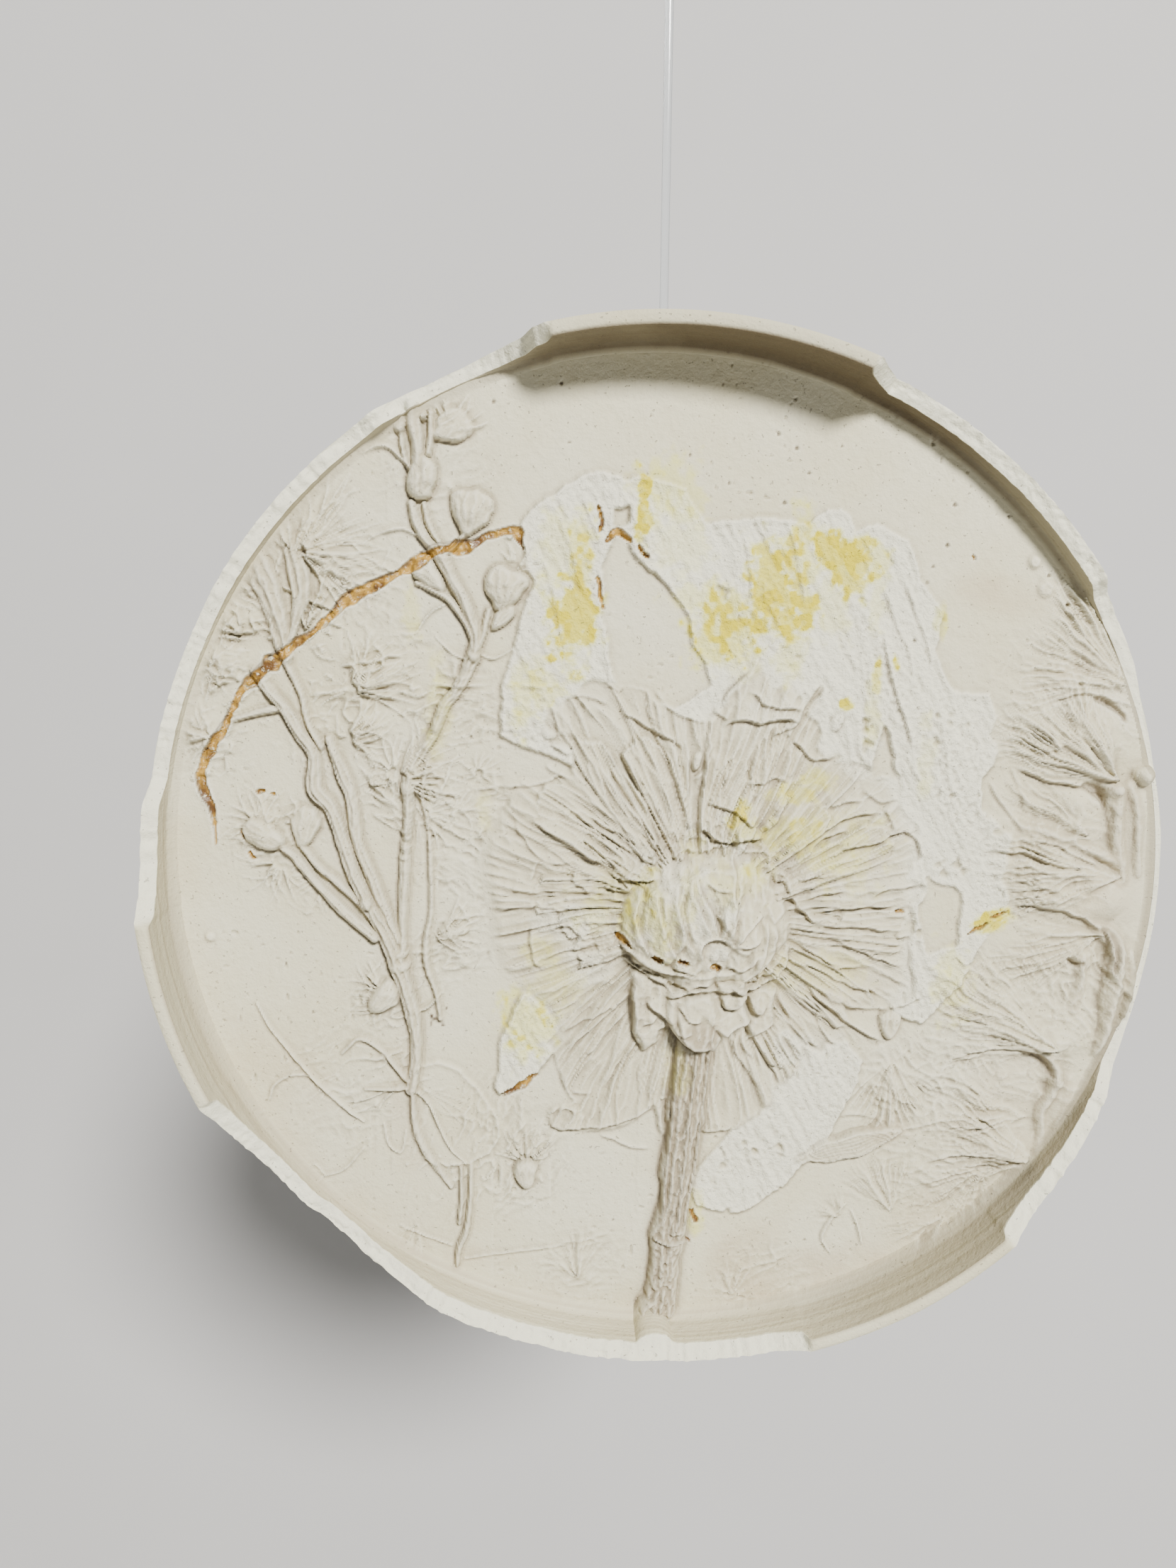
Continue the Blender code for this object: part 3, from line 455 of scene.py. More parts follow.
def ruffled_head(x, z, start, stop, reach, lift, folds, seed):
    """A pressed flower head: soft folds and fine fibres that fan out and fade into the field."""
    here = round_window(x, z, reach * 1.25)
    off_x = across[here] - x + 0.09 * reach * crumple(across[here], up[here], reach * 0.5, seed)
    off_z = up[here] - z + 0.09 * reach * crumple(across[here], up[here], reach * 0.5, seed + 5)
    middle, half = math.radians((start + stop) / 2), math.radians((stop - start) / 2)
    turn = np.arctan2(off_z, off_x) - middle
    turn = (turn + math.pi) % (2 * math.pi) - math.pi
    share = turn / half
    r = np.hypot(off_x, off_z) / reach
    edge = 1 + 0.16 * sway(share * 4, 1, seed + 9)
    fade = ease(1.6 * (1 - r / edge)) * ease(2.4 * (1 - np.abs(share)))
    fold = 1 - np.abs(lumps(share * folds, r * 1.6, 1, seed + 1))
    fibre = 1 - np.abs(lumps(share * folds * 5, r * 2.2, 1, seed + 2))
    shape = lift * fade * ((1.1 - 0.75 * r) * fold ** 2 + 0.28 * fibre ** 2)
    height[here] += shape
    # Painted shade in the troughs between the folds.
    shade_and_dust[here] += 0.35 * fade * (1 - fold) ** 0.7
    at_least(plant, here, fade)


LEFT_BUDS = (
    (-112, -54, 5.0, 8.5, 45, 4.0, 5, 0.4), (-56, -129, 4.6, 6.5, 0, 4.4, 6),
    (-141, 15, 5.4, 8.5, 12, 3.8, 4, 0.3), (-156, 11.5, 5.6, 9.0, -62, 4.4, 6, 0.4),
    (-106, -41, 4.6, 3.0, 0, 5.8, 4), (-84, -27, 2.0, 6.0, 80, 2.4, 3),
)
LEFT_TUFTS = (
    (-157, 15, 70, 210, 5, 17, 0.9, 18), (-56, -124, 20, 160, 4, 15, 1.2, 18),
    (-140, 119, -45, 70, 3, 32, 1.1, 34), (-158, 121, 40, 150, 3, 18, 0.9, 16),
    (-88, -27, -40, 60, 2, 15, 1.0, 14), (-104, 34, -75, 80, 3, 26, 1.2, 36),
    (-106, 36, 80, 280, 3, 15, 1.0, 16), (-122, 68, -20, 75, 3, 26, 1.2, 26),
    (-124, 50, -40, 60, 3, 18, 1.0, 16), (-96, 20, -60, 60, 3, 20, 0.9, 18),
    (-166, 94, 120, 250, 2, 15, 1.0, 16), (-172, 76, 100, 260, 2, 14, 1.0, 16),
    (-176, 52, 120, 260, 2, 12, 0.8, 12), (-112, -52, 110, 260, 5, 15, 0.9, 18),
    (-74, 36, -30, 200, 2, 10, 0.7, 12), (-82, 22, -30, 200, 2, 9, 0.6, 10),
    (-150, 2, 180, 290, 4, 18, 0.6, 16), (-134, -4, 180, 290, 4, 16, 0.5, 12),
)
LEFT_MOUNDS = (
    (-160, 94, 12, 6, 25, 2.0), (-168, 78, 12, 7, 10, 2.2), (-178, 54, 8, 7, 20, 2.0),
    (-114, 72, 14, 6, 25, 2.6), (-118, 54, 11, 7, 10, 2.2), (-130, 118, 14, 6, -15, 2.0),
    (-126, 84, 16, 8, 0, 1.0), (-98, 34, 16, 8, -10, 1.6), (-152, 12, 14, 9, 10, 1.6),
    (-86, -28, 9, 6, 20, 1.4), (-112, -54, 9, 9, 40, 1.6), (-106, 20, 8, 12, 0, 0.8),
    (-84, 158, 9, 6, 20, 0.8), (-104, 150, 6, 10, 0, 0.6),
)
WRINKLE_HEIGHT = 1.4
WRINKLE_SIZES = ((0.9, 7), (0.9, 4), (0.7, 2))


def raise_mound(x, z, half_width, half_length, lean, lift):
    """A soft hill in the field, where the clay was dented by what lay over it."""
    u, v = along_and_across(across - x, up - z, lean)
    r = np.hypot(u / half_width, v / half_length)
    height[:] = height + lift * np.exp(-1.6 * r * r * (1 + 0.4 * crumple(across, up, 16, 460)))


def wrinkle_ground(x, z, reach, depth, lie=15):
    """Soft wrinkles like crushed tissue that mostly run one way and die out round their patch."""
    here = round_window(x, z, reach)
    off_x, off_z = across[here] - x, up[here] - z
    fade = ease(1.3 * (1 - np.hypot(off_x, off_z) / reach)) * (0.6 + 0.4 * lumps(off_x, off_z, 12, 137))
    u, v = along_and_across(off_x, off_z, lie)
    u = u / 2.2 + 2 * crumple(off_x, off_z, 14, 131 + round(abs(x)))
    v = v + 7 * crumple(off_x, off_z, 24, 132 + round(abs(z)))
    ridges = sum(share * ridge(u, v, size, 133 + size) for share, size in WRINKLE_SIZES)
    height[here] += WRINKLE_HEIGHT * depth * fade * (ridges - 1.0)
    at_least(plant, here, 0.35 * fade)


for head in RUFFLED_HEADS:
    ruffled_head(*head)
for patch in WRINKLED_GROUND:
    wrinkle_ground(*patch)
for number, stalk in enumerate(STOUT_STALKS):
    press_stem(stalk, ribs=2.6, roughness=0.4, seed=140 + number)
for number, thread in enumerate(LEFT_THREADS):
    press_hair(thread, 160 + number)
for number, bud in enumerate(LEFT_BUDS):
    press_bud(*bud, seed=180 + number)
for number, tuft in enumerate(LEFT_TUFTS):
    frayed_crown(*tuft, 500 + number)
for mound in LEFT_MOUNDS:
    raise_mound(*mound)

# The round papery leaf at the lower left, pressed so thin that only its rim, fold and veins show.
LEAF_OUTLINE = (
    (-99, -82), (-91, -80), (-82, -84), (-74, -93), (-67, -104), (-66, -113), (-70, -120), (-80, -125),
    (-88, -126), (-97, -122), (-102, -111), (-103, -97),
)
LEAF_FOLD = ((-102, -91, 0.7, 1.5), (-95, -98, 0.8, 1.6), (-90, -110, 0.8, 1.6), (-86, -118, 0.7, 1.4),
             (-80, -124, 0.6, 1.0))
LEAF_VEIN_TIPS = ((-80, -90), (-73, -100), (-70, -110), (-73, -118))
LEAF_THICKNESS, LEAF_RIM_HEIGHT = 0.45, 1.5
leaf = soften(inside(LEAF_OUTLINE, 0.5, 201), POINT_SPACING)
leaf_rim = np.clip(leaf - soften(leaf, 1.6), 0, 1)
height += leaf * (LEAF_THICKNESS + 0.25 * crumple(across, up, 12, 203)) + LEAF_RIM_HEIGHT * leaf_rim
press_hair(LEAF_FOLD, 205)
for number, (tip_x, tip_z) in enumerate(LEAF_VEIN_TIPS):
    press_hair(((-97, -92, 0.5, 0.6), ((tip_x - 92) / 2, (tip_z - 94) / 2, 0.5, 0.5),
                (tip_x, tip_z, 0.4, 0.3)), 207 + number)

# The large open flower: broad papery petals that lie over each other in a wide fan, with fine ridges
# that run together at the heart. They were pressed flat and torn at their ends, so the fan has one
# ragged outline. Each petal is listed from the lowest to the top one: direction, half spread, reach,
# bend to the left, and how far it lies above the fan's own level.
FLOWER_HEART = (12.0, -18.0)
FLOWER_OUTLINE = (
    (-47, 62), (-44, 61), (-38, 65), (-34, 71), (-30, 74), (-24, 71.5), (-18, 70), (-10, 68), (-6, 64),
    (0, 60), (6, 57), (12, 56), (16, 58), (20, 63), (21, 67), (24, 70), (30, 76), (33, 80), (36, 74),
    (38, 68), (44, 70), (50, 66), (52, 62), (56, 68), (59, 69.5), (56, 63), (52, 59), (56, 57), (58, 53),
    (57, 46), (60, 42), (66, 43), (64, 40), (72, 39.5), (82, 38.5), (80, 35), (90, 35), (91, 30),
    (90, 25), (94, 19), (99, 13.5), (97, 9), (100, 5), (100, 2), (96, 0), (94, -5), (103, -9), (104, -12),
    (100, -15), (97, -17), (98, -24), (97, -30), (97, -36), (98, -42), (100, -48), (101, -54), (96, -57),
    (90, -59.5), (80, -59.5), (72, -58), (76, -65), (84, -71), (91, -74), (84, -74), (74, -72), (66, -74),
    (64, -77), (60, -75), (56, -74), (55, -80), (53, -86), (50, -88), (48, -92), (44, -93), (43, -99),
    (38, -104), (32, -108), (26, -110), (20, -111), (8, -112), (1, -112), (-3, -100), (-8, -103),
    (-14, -107), (-22, -109), (-32, -110.5), (-42, -110.5), (-46, -108), (-46, -102), (-42, -99),
    (-36, -99), (-40, -94), (-42, -84), (-45, -76), (-47, -72), (-42, -64), (-48, -59), (-56, -51),
    (-61, -49), (-65, -44), (-69, -39), (-71, -30), (-71, -20), (-73, -10), (-74, 0), (-74, 8), (-70, 16),
    (-64, 20), (-63, 26), (-67, 30), (-64, 36), (-60, 33), (-52, 32.5), (-44, 36), (-39, 34), (-38, 44),
    (-43, 47), (-47, 48), (-45, 51), (-48, 56),
)
BROAD_PETALS = (
    (97, 17, 112, 0, -0.2), (-145, 22, 100, 6, -0.1), (-42, 15, 122, -4, 0.0), (-88, 18, 122, 0, -0.1),
    (-165, 22, 112, -5, 0.2), (-112, 18, 122, 5, 0.1), (180, 16, 112, 4, 0.3), (-18, 19, 112, -5, 0.1),
    (30, 20, 112, 6, 0.1), (-70, 17, 122, -3, 0.3), (5, 15, 112, 3, 0.4), (72, 17, 112, -4, 0.2),
    (158, 20, 112, -6, 0.4), (117, 18, 112, 4, 0.4), (50, 12, 112, 5, 0.5), (-128, 12, 102, 3, 0.4),
    (-8, 9, 84, 2, 0.8), (140, 9, 76, 5, 0.7), (18, 8, 80, 4, 0.8), (-30, 9, 84, -4, 0.7),
    (106, 8, 74, 5, 0.8), (84, 8, 60, -8, 0.7), (168, 8, 66, 7, 0.8), (-60, 8, 80, 3, 0.7),
    (-155, 9, 54, -6, 0.8), (62, 7, 76, 4, 0.7), (-104, 7, 80, 2, 0.6), (128, 6, 84, -4, 0.9),
    (36, 6, 62, 2, 1.0), (-176, 7, 56, 4, 1.0), (150, 6, 52, -3, 1.2), (-2, 6, 60, 0, 1.2),
)
FLOWER_EDGE_WANDER = 2.0
PETAL_EDGE = 0.7
LEAST_PETAL = 0.15
FAN_LEVEL = 0.55
RISE_TO_HEART = 4.6
RISE_STARTS, RISE_FADES = 24, 18
PETAL_WRINKLE_HEIGHT = 1.6
CURL_HEIGHT = 0.7
RUCK_HEIGHT = 1.5
sheet = inside(FLOWER_OUTLINE, FLOWER_EDGE_WANDER, 219)
well_inside = ease((soften(sheet, 8) - 0.5) / 0.4)
sheet = soften(sheet, POINT_SPACING)
heart_x, heart_z = across - FLOWER_HEART[0], up - FLOWER_HEART[1]
heart_distance = np.hypot(heart_x, heart_z)
heart_turn = np.degrees(np.arctan2(heart_z, heart_x))
side_petals = ease(0.5 + 0.9 * np.cos(2 * np.radians(heart_turn)))
thinned = 1 - 0.9 * side_petals * (1 - well_inside)


def petal_level(r):
    """How far the fan of petals stands out of the field, by the distance from the heart."""
    return FAN_LEVEL + RISE_TO_HEART * np.exp(-np.maximum(r - RISE_STARTS, 0) / RISE_FADES)


def petal_ridges(turn, r, seed):
    """Fine ridges and long soft folds along a petal; the finest die out where it narrows."""
    warp = 0.8 * lumps(turn / 5, r / 26, 1, seed)
    coarse = ridge(turn / 3.4 + warp, r / 60, 1, seed + 1)
    fine = ridge(turn / 1.5 + 2 * warp, r / 44, 1, seed + 2)
    folds = lumps(turn / 9 + warp, r / 50, 1, seed + 3)
    strength = 0.6 + 0.4 * lumps(turn / 14, r / 24, 1, seed + 4)
    return strength * (0.7 * coarse + 1.3 * fine * ease((r - 26) / 20)) + folds - 0.5


def lay_broad_petal(angle, half_spread, reach, bend, rise, seed):
    """A papery petal that widens from the heart to its torn end."""
    here = round_window(*FLOWER_HEART, reach * 1.08)
    r = heart_distance[here]
    t = r / reach
    turn = heart_turn[here] - angle - bend * t * t
    turn = (turn + 180) % 360 - 180
    spread = half_spread * (1.35 - 0.5 * t)
    u = turn / spread + 0.10 * crumple(heart_x[here], heart_z[here], 13, seed)
    width = np.radians(spread) * r
    end = 1 - 0.08 * np.abs(u) ** 3 + 0.06 * sway(u * 1.6, 1, seed + 1)
    end += 0.015 * lumps(u * 8, 9 * t, 1, seed + 2)
    cover = ease((1 - np.abs(u)) * width / PETAL_EDGE) * ease((end - t) * reach / PETAL_EDGE) * sheet[here]
    wrinkle = creases(u * 3.4, t * 3.0, 1, seed + 7)
    curl = np.exp(-((1 - np.abs(u)) * width / 1.3) ** 2) * (lumps(t * 3, np.sign(u) * 9, 1, seed + 9) > 0)
    top = petal_level(r) + rise + petal_ridges(turn, r, seed) + CURL_HEIGHT * curl
    top += PETAL_WRINKLE_HEIGHT * (wrinkle - 0.4)
    top = np.maximum(top, LEAST_PETAL) * thinned[here]
    height[here] = height[here] * (1 - cover) + top * cover
    # Painted shade in the troughs of the petal's wrinkles.
    shade_and_dust[here] = shade_and_dust[here] * (1 - 0.8 * cover) + 0.15 * cover * ease(1.4 - 2.6 * wrinkle)
    at_least(plant, here, cover * thinned[here])
    white[here] *= 1 - 0.8 * cover * thinned[here]


def overlap(step, fade, *points, seed=0):
    """An edge that lies over what is on the right of this line; the step dies away behind it."""
    here, side, share, run, _ = along(points, 4 * fade)
    side = side + 0.5 * sway(run, 4, seed)
    ends = ease(5 * np.minimum(share, 1 - share))
    behind = ease(side / 0.9 + 0.35) * np.exp(-np.clip(side, 0, None) / fade)
    height[here] += step * behind * ends
    # Painted shadow: a dark line at the foot of the edge, on its lower side.
    shade_and_dust[here] += min(1.0, 0.75 * step) * ends * np.exp(-((side + 0.3) / 0.45) ** 2)


for number, petal in enumerate(BROAD_PETALS):
    lay_broad_petal(*petal, seed=300 + 11 * number)
ruck = ease((heart_distance - 22) / 8) * ease((60 - heart_distance) / 26)
rucks = creases(heart_turn / 8, heart_distance / 20, 1, 227)
height += RUCK_HEIGHT * ruck * (rucks - 0.42)
# Painted shade in the troughs of the rucks.
shade_and_dust += 0.25 * ruck * (1 - rucks) ** 2

# The folds and overlapping edges of the petals, each drawn from left to right so that its upper side
# lies on top: how far it stands up, how far it fades behind the edge, and the edge's line.
PETAL_FOLDS = (
    (0.7, 3, (-7.5, 69), (-5, 64.5), (0, 60), (5, 57.5), (10, 56.5), (16, 56)),
    (0.6, 3, (-42, 63), (-36, 66), (-30, 65), (-24, 62)), (0.6, 2, (-26, 70), (-23, 69), (-20, 67)),
    (0.8, 2, (-46, 62), (-44, 54), (-44, 50)), (0.8, 2, (-47, 47), (-43, 45), (-39, 43)),
    (1.3, 5, (-20, 60), (-14, 57), (-8, 53), (-2, 50), (5, 45)),
    (1.2, 3, (7, 25), (7, 31), (7, 38), (8, 44)), (0.9, 3, (16, 46), (13, 38), (8, 34)),
    (1.6, 4, (-9, 12), (-12, 19), (-17, 25), (-21, 31), (-25, 40)),
    (1.1, 3, (1, 4), (-5, 11), (-8, 20), (-11, 28), (-15, 40)),
    (0.8, 3, (-19, 17), (-22, 22), (-26, 31), (-29, 41)),
    (1.8, 4, (-54, 17), (-45, 12), (-38, 7), (-31, 3), (-24, 0)),
    (0.8, 3, (-61, 20), (-57, 10), (-50, 2), (-43, 0), (-36, 1)),
    (0.9, 3, (-38, 20), (-28, 13), (-20, 8), (-13, 3)),
    (0.9, 3, (-32, 20), (-24, 14), (-19, 12), (-12, 5)),
    (2.0, 4, (-25, -2), (-21, -4.5), (-14, -5), (-8, -5), (-1, -3)),
    (1.3, 3, (-20, -4), (-17.5, -7), (-16, -10)), (0.9, 3, (-26, -8), (-20, -10), (-15, -11.5)),
    (0.8, 4, (-68, -19), (-60, -17), (-54, -16.5), (-45, -17.5), (-42, -21)),
    (0.7, 4, (-62, -10), (-55, -11), (-50, -11)), (0.6, 2, (-54, -7), (-52, -2), (-50, 3)),
    (0.7, 2, (-67, 31), (-62, 30), (-57, 31), (-52, 31), (-46, 33), (-43, 35), (-38, 33)),
    (0.6, 2, (-49, 39), (-45, 36), (-41, 34)), (0.9, 2, (-36, -1), (-38, -6), (-34, -9), (-30, -12)),
    (1.3, 3, (-12, 4), (-9, 2), (-5, 1)), (1.0, 3, (-7, 3), (-6, 6), (-5, 11)),
    (0.8, 2, (1, 3), (2.5, 6), (2, 10)), (0.8, 2, (4, 2), (6, 5), (6, 10)),
    (0.8, 2, (16, 60), (19, 58.5), (22, 57)), (0.9, 3, (31, 77), (25, 71), (21, 67), (19, 62)),
    (1.1, 3, (29, 68), (33, 66), (36, 62.5), (44, 61.5), (52, 61)),
    (1.0, 2, (59, 69.5), (55, 65), (50, 60)), (1.7, 5, (20, 54), (26, 57), (34, 56), (44, 57), (51, 56)),
    (0.9, 3, (38, 50), (44, 53), (50, 56.5)),
    (1.1, 3, (45, 48), (48, 48), (52, 44), (56, 41), (60, 42), (65, 42.5)),
    (0.9, 3, (20, 24), (20, 31), (22, 36), (22, 43)),
    (0.8, 3, (31, 19), (33, 27), (37, 33), (41, 41), (46, 49)),
    (0.9, 3, (30, 31), (36, 33), (41, 34), (47, 33.5)), (0.8, 3, (46, 34), (48, 38), (52, 45)),
    (1.4, 3, (13, 25), (20, 23), (26, 21), (31, 16), (34, 18.5), (37, 22)),
    (2.4, 5, (10, 15), (15, 13), (19, 10), (23, 9.5), (29, 10), (35, 10), (38, 12)),
    (1.4, 4, (38, 12), (42, 18), (47, 28)), (1.3, 5, (46, 1), (56, 10), (66, 17), (75, 20), (85, 20)),
    (1.2, 5, (50, 0), (60, 9), (66, 12.5), (72, 13)), (0.9, 4, (62, 22), (70, 25), (76, 26)),
    (1.3, 5, (65, 7), (72, 7), (82, 9), (92, 13), (98, 13)),
    (1.0, 4, (50, -7), (57, -5), (64, -4), (72, -4)), (1.2, 5, (54, -14), (62, -12), (71, -10)),
    (1.4, 5, (57, -18), (70, -17.5), (80, -17), (92, -18)),
    (0.9, 4, (81, -14), (86, -10), (90, -9), (101, -9)), (1.0, 4, (58, -24), (75, -25), (90, -27)),
    (1.8, 4, (38, -15), (43, -14.5), (48, -13.5), (51, -16.5), (54, -20), (58, -23), (64, -23)),
    (1.2, 3, (40, -6), (45, -6), (47, -12)), (0.9, 3, (92, 14), (96, 11), (99, 7), (100, 2)),
    (0.7, 3, (75, 30), (79, 27), (83, 25), (91, 26)), (0.7, 3, (83, 23), (86, 19), (89, 13)),
    (1.2, 4, (49, -30), (54, -33), (61, -38), (66, -41), (70, -42.5), (81, -42)),
    (1.1, 4, (62, -29), (70, -32), (78, -36), (88, -40), (97, -42)),
    (1.1, 4, (50, -40), (58, -42), (66, -46), (74, -50), (86, -53)),
    (0.7, 3, (70, -57), (80, -59.5), (90, -59.5), (100, -56.5), (105, -54)),
    (1.5, 4, (55, -47), (60, -54), (68, -60), (74, -66), (82, -71), (91, -74)),
    (0.8, 3, (60, -50), (66, -55), (71, -58)), (0.9, 3, (28, -67), (28, -76), (33, -84), (39, -93)),
    (1.2, 3, (35, -70), (40, -79), (48, -92)), (0.8, 3, (30, -66), (31, -74), (36, -80)),
    (0.9, 3, (44, -52), (48, -60), (54, -70), (64, -77)),
    (0.8, 3, (61, -60), (62, -66), (66, -72), (71, -75)),
    (0.8, 3, (-54, -24), (-54.5, -33), (-52, -40), (-48, -41)),
    (0.7, 3, (-50, -39), (-45, -36), (-38, -34), (-28, -31)),
    (0.8, 3, (-47, -26), (-40, -24.5), (-37, -26), (-32, -31)),
    (1.4, 3, (-28, -34.5), (-23, -32.5), (-20, -31)),
    (1.0, 4, (-40, -78), (-32, -69), (-22, -59), (-14, -52)),
    (1.0, 4, (-33, -81), (-24, -69), (-14, -58)), (0.9, 4, (-42, -69), (-30, -62), (-19, -57)),
    (0.8, 3, (-24, -93), (-18, -81), (-11, -72)), (0.6, 2, (-38, -94), (-34, -94.5), (-29, -94.5)),
    (0.7, 2, (-27, -112), (-18, -116), (-10, -119), (-4, -119.5)),
    (1.0, 3, (-46, -102), (-46, -108), (-42, -110), (-32, -109.5), (-22, -108.5), (-14, -106), (-8, -103),
     (0, -99)),
    (0.7, 2, (-46, -104), (-42, -101), (-37, -102), (-38, -106), (-43, -106)),
    (0.8, 3, (80, 92), (83, 80), (86, 70), (90, 58), (93, 50), (95, 44)),
    (0.4, 3, (79, 110), (84, 98), (90, 84), (94, 70)),
    (0.4, 3, (87, 112), (92, 100), (98, 86), (100, 74)), (0.35, 3, (-44, 132), (-39, 119), (-35, 104)),
    (0.35, 3, (-36, 141), (-31, 130), (-28, 118)), (0.3, 3, (-51, 118), (-46, 104), (-43, 88)),
    (0.35, 3, (24, 130), (28, 116), (30, 100)), (0.35, 3, (42, 132), (47, 116), (50, 100)),
    (0.3, 3, (103, 62), (108, 40), (112, 20)),
)
PETAL_FOLD_HEIGHT = 1.3
FLOWER_PODS = (
    (10, 41, 2.2, 4.0, 10, 3.0, 3), (-47, 51, 3.2, 2.4, 20, 1.8, 3), (91, -66, 4.4, 6.4, 0, 3.0, 2),
    (64, 56, 2.6, 4.0, 20, 1.8, 3), (43, -10, 3.4, 3.0, 20, 6.2, 3), (26, 21.5, 0.9, 1.3, 0, 4.4, 1),
)
for number, (step, *fold) in enumerate(PETAL_FOLDS):
    overlap(PETAL_FOLD_HEIGHT * step, *fold, seed=240 + number)
for number, pod in enumerate(FLOWER_PODS):
    press_bud(*pod, seed=265 + number)

# The flower's heart: a round head that stands well out of the petals like a bowl, wrapped in smooth
# overlapping bracts. Folded sepals and a knob lie under it, where the stem begins. The row of a sepal
# or bract holds its level, how it leans to the right and upwards, and its outline.
HEART_CENTRE = (14.0, -23.0)
HEART_HALF_WIDTH, HEART_UPPER_REACH, HEART_LOWER_REACH = 36.5, 33.0, 28.0
HEART_LIFT = 14.0
BRACT_EDGE_HEIGHT = 0.9
HEART_KNOB = (17.5, -33, 5.0, 5.4, 0, 14.6, 2)
CURDS_CENTRE, CURDS_HALF_WIDTH, CURDS_HALF_LENGTH = (18, 12), 17, 10
CURD_HEIGHT = 2.2
CRUMPLE_HEIGHT = 2.8
SEPALS = (
    (4.6, 0.04, 0.05, (-14, -43), (-3, -42), (2, -50), (0, -58), (2, -64), (-3, -67), (-4, -72),
     (-9, -76), (-11, -70), (-13, -66), (-14, -55)),
    (4.4, -0.04, 0.05, (32, -48), (44, -50), (42.5, -58), (43.5, -65), (38, -68), (33, -71), (32.5, -62)),
    (7.6, -0.06, -0.10, (0, -49), (18, -46), (31, -50), (31, -56), (34, -61.5), (27, -65), (22, -69),
     (20, -73), (18, -75), (15, -73), (9, -72.5), (4, -68), (1, -64), (-1, -58)),
    (9.4, 0.02, -0.06, (4, -52), (16, -49), (19, -60), (16, -72), (9, -71.5), (4, -67), (2, -62)),
    (8.2, 0.10, 0.12, (18, -45), (21.5, -56), (26, -57), (32, -52), (29, -45)),
    (6.0, 0.05, -0.05, (32, -49), (39, -50), (41, -56), (37, -60), (34, -58)),
)
BRACTS = (
    (0.9, 0.07, -0.02, (-22, -21), (-17.5, -15), (-7.5, -7.5), (-0.5, -4.5), (6, -4), (4, -15),
     (6, -27.5), (0, -37.5), (-7.5, -34), (-14.5, -27.5)),
    (0.3, -0.14, 0.04, (6, -4), (12.5, 1), (16, -6), (20, -20), (17.5, -26), (14, -30), (7.5, -26),
     (5, -15)),
    (1.5, 0.16, 0.03, (12.5, 1), (25, 0), (28, -7.5), (23, -25), (20, -21), (16, -7.5)),
    (0.5, -0.12, -0.03, (26, 0), (32.5, -6), (38, -16), (37.5, -25), (30, -34), (24, -30), (21, -25),
     (28, -10)),
    (1.1, 0.0, -0.10, (-18, -30), (-7, -37), (2, -41), (13, -42), (25, -40), (34, -33), (45, -30),
     (46, -20), (48, -34), (40, -44), (26, -49), (10, -50), (-4, -45), (-14, -38)),
    (1.0, 0.10, 0.08, (-9, -8), (-2, -9), (-1, -24), (-6, -31), (-11, -22)),
    (0.9, 0.06, -0.04, (34, -4), (43, -10), (46, -18), (40, -22), (36, -13)),
)


def lay_facet(level, lean_x, lean_z, *outline, seed=0):
    """A crumpled piece with a sharp outline that lies over what is there, leaning a little."""
    mask = inside(outline, 0.7, seed)
    cover = soften(mask, POINT_SPACING)
    middle_x, middle_z = np.mean(outline, 0)
    swell = ease((soften(mask, 2.5) - 0.5) / 0.5)
    top = level + lean_x * (across - middle_x) + lean_z * (up - middle_z) + 1.2 * swell
    top += 1.1 * (creases(across, up, 7, seed + 1) - 0.4) + 0.4 * lumps(across, up * 0.3, 2.4, seed + 2)
    height[:] = height * (1 - cover) + top * cover
    plant[:] = np.maximum(plant, cover)
    white[:] = white * (1 - cover)


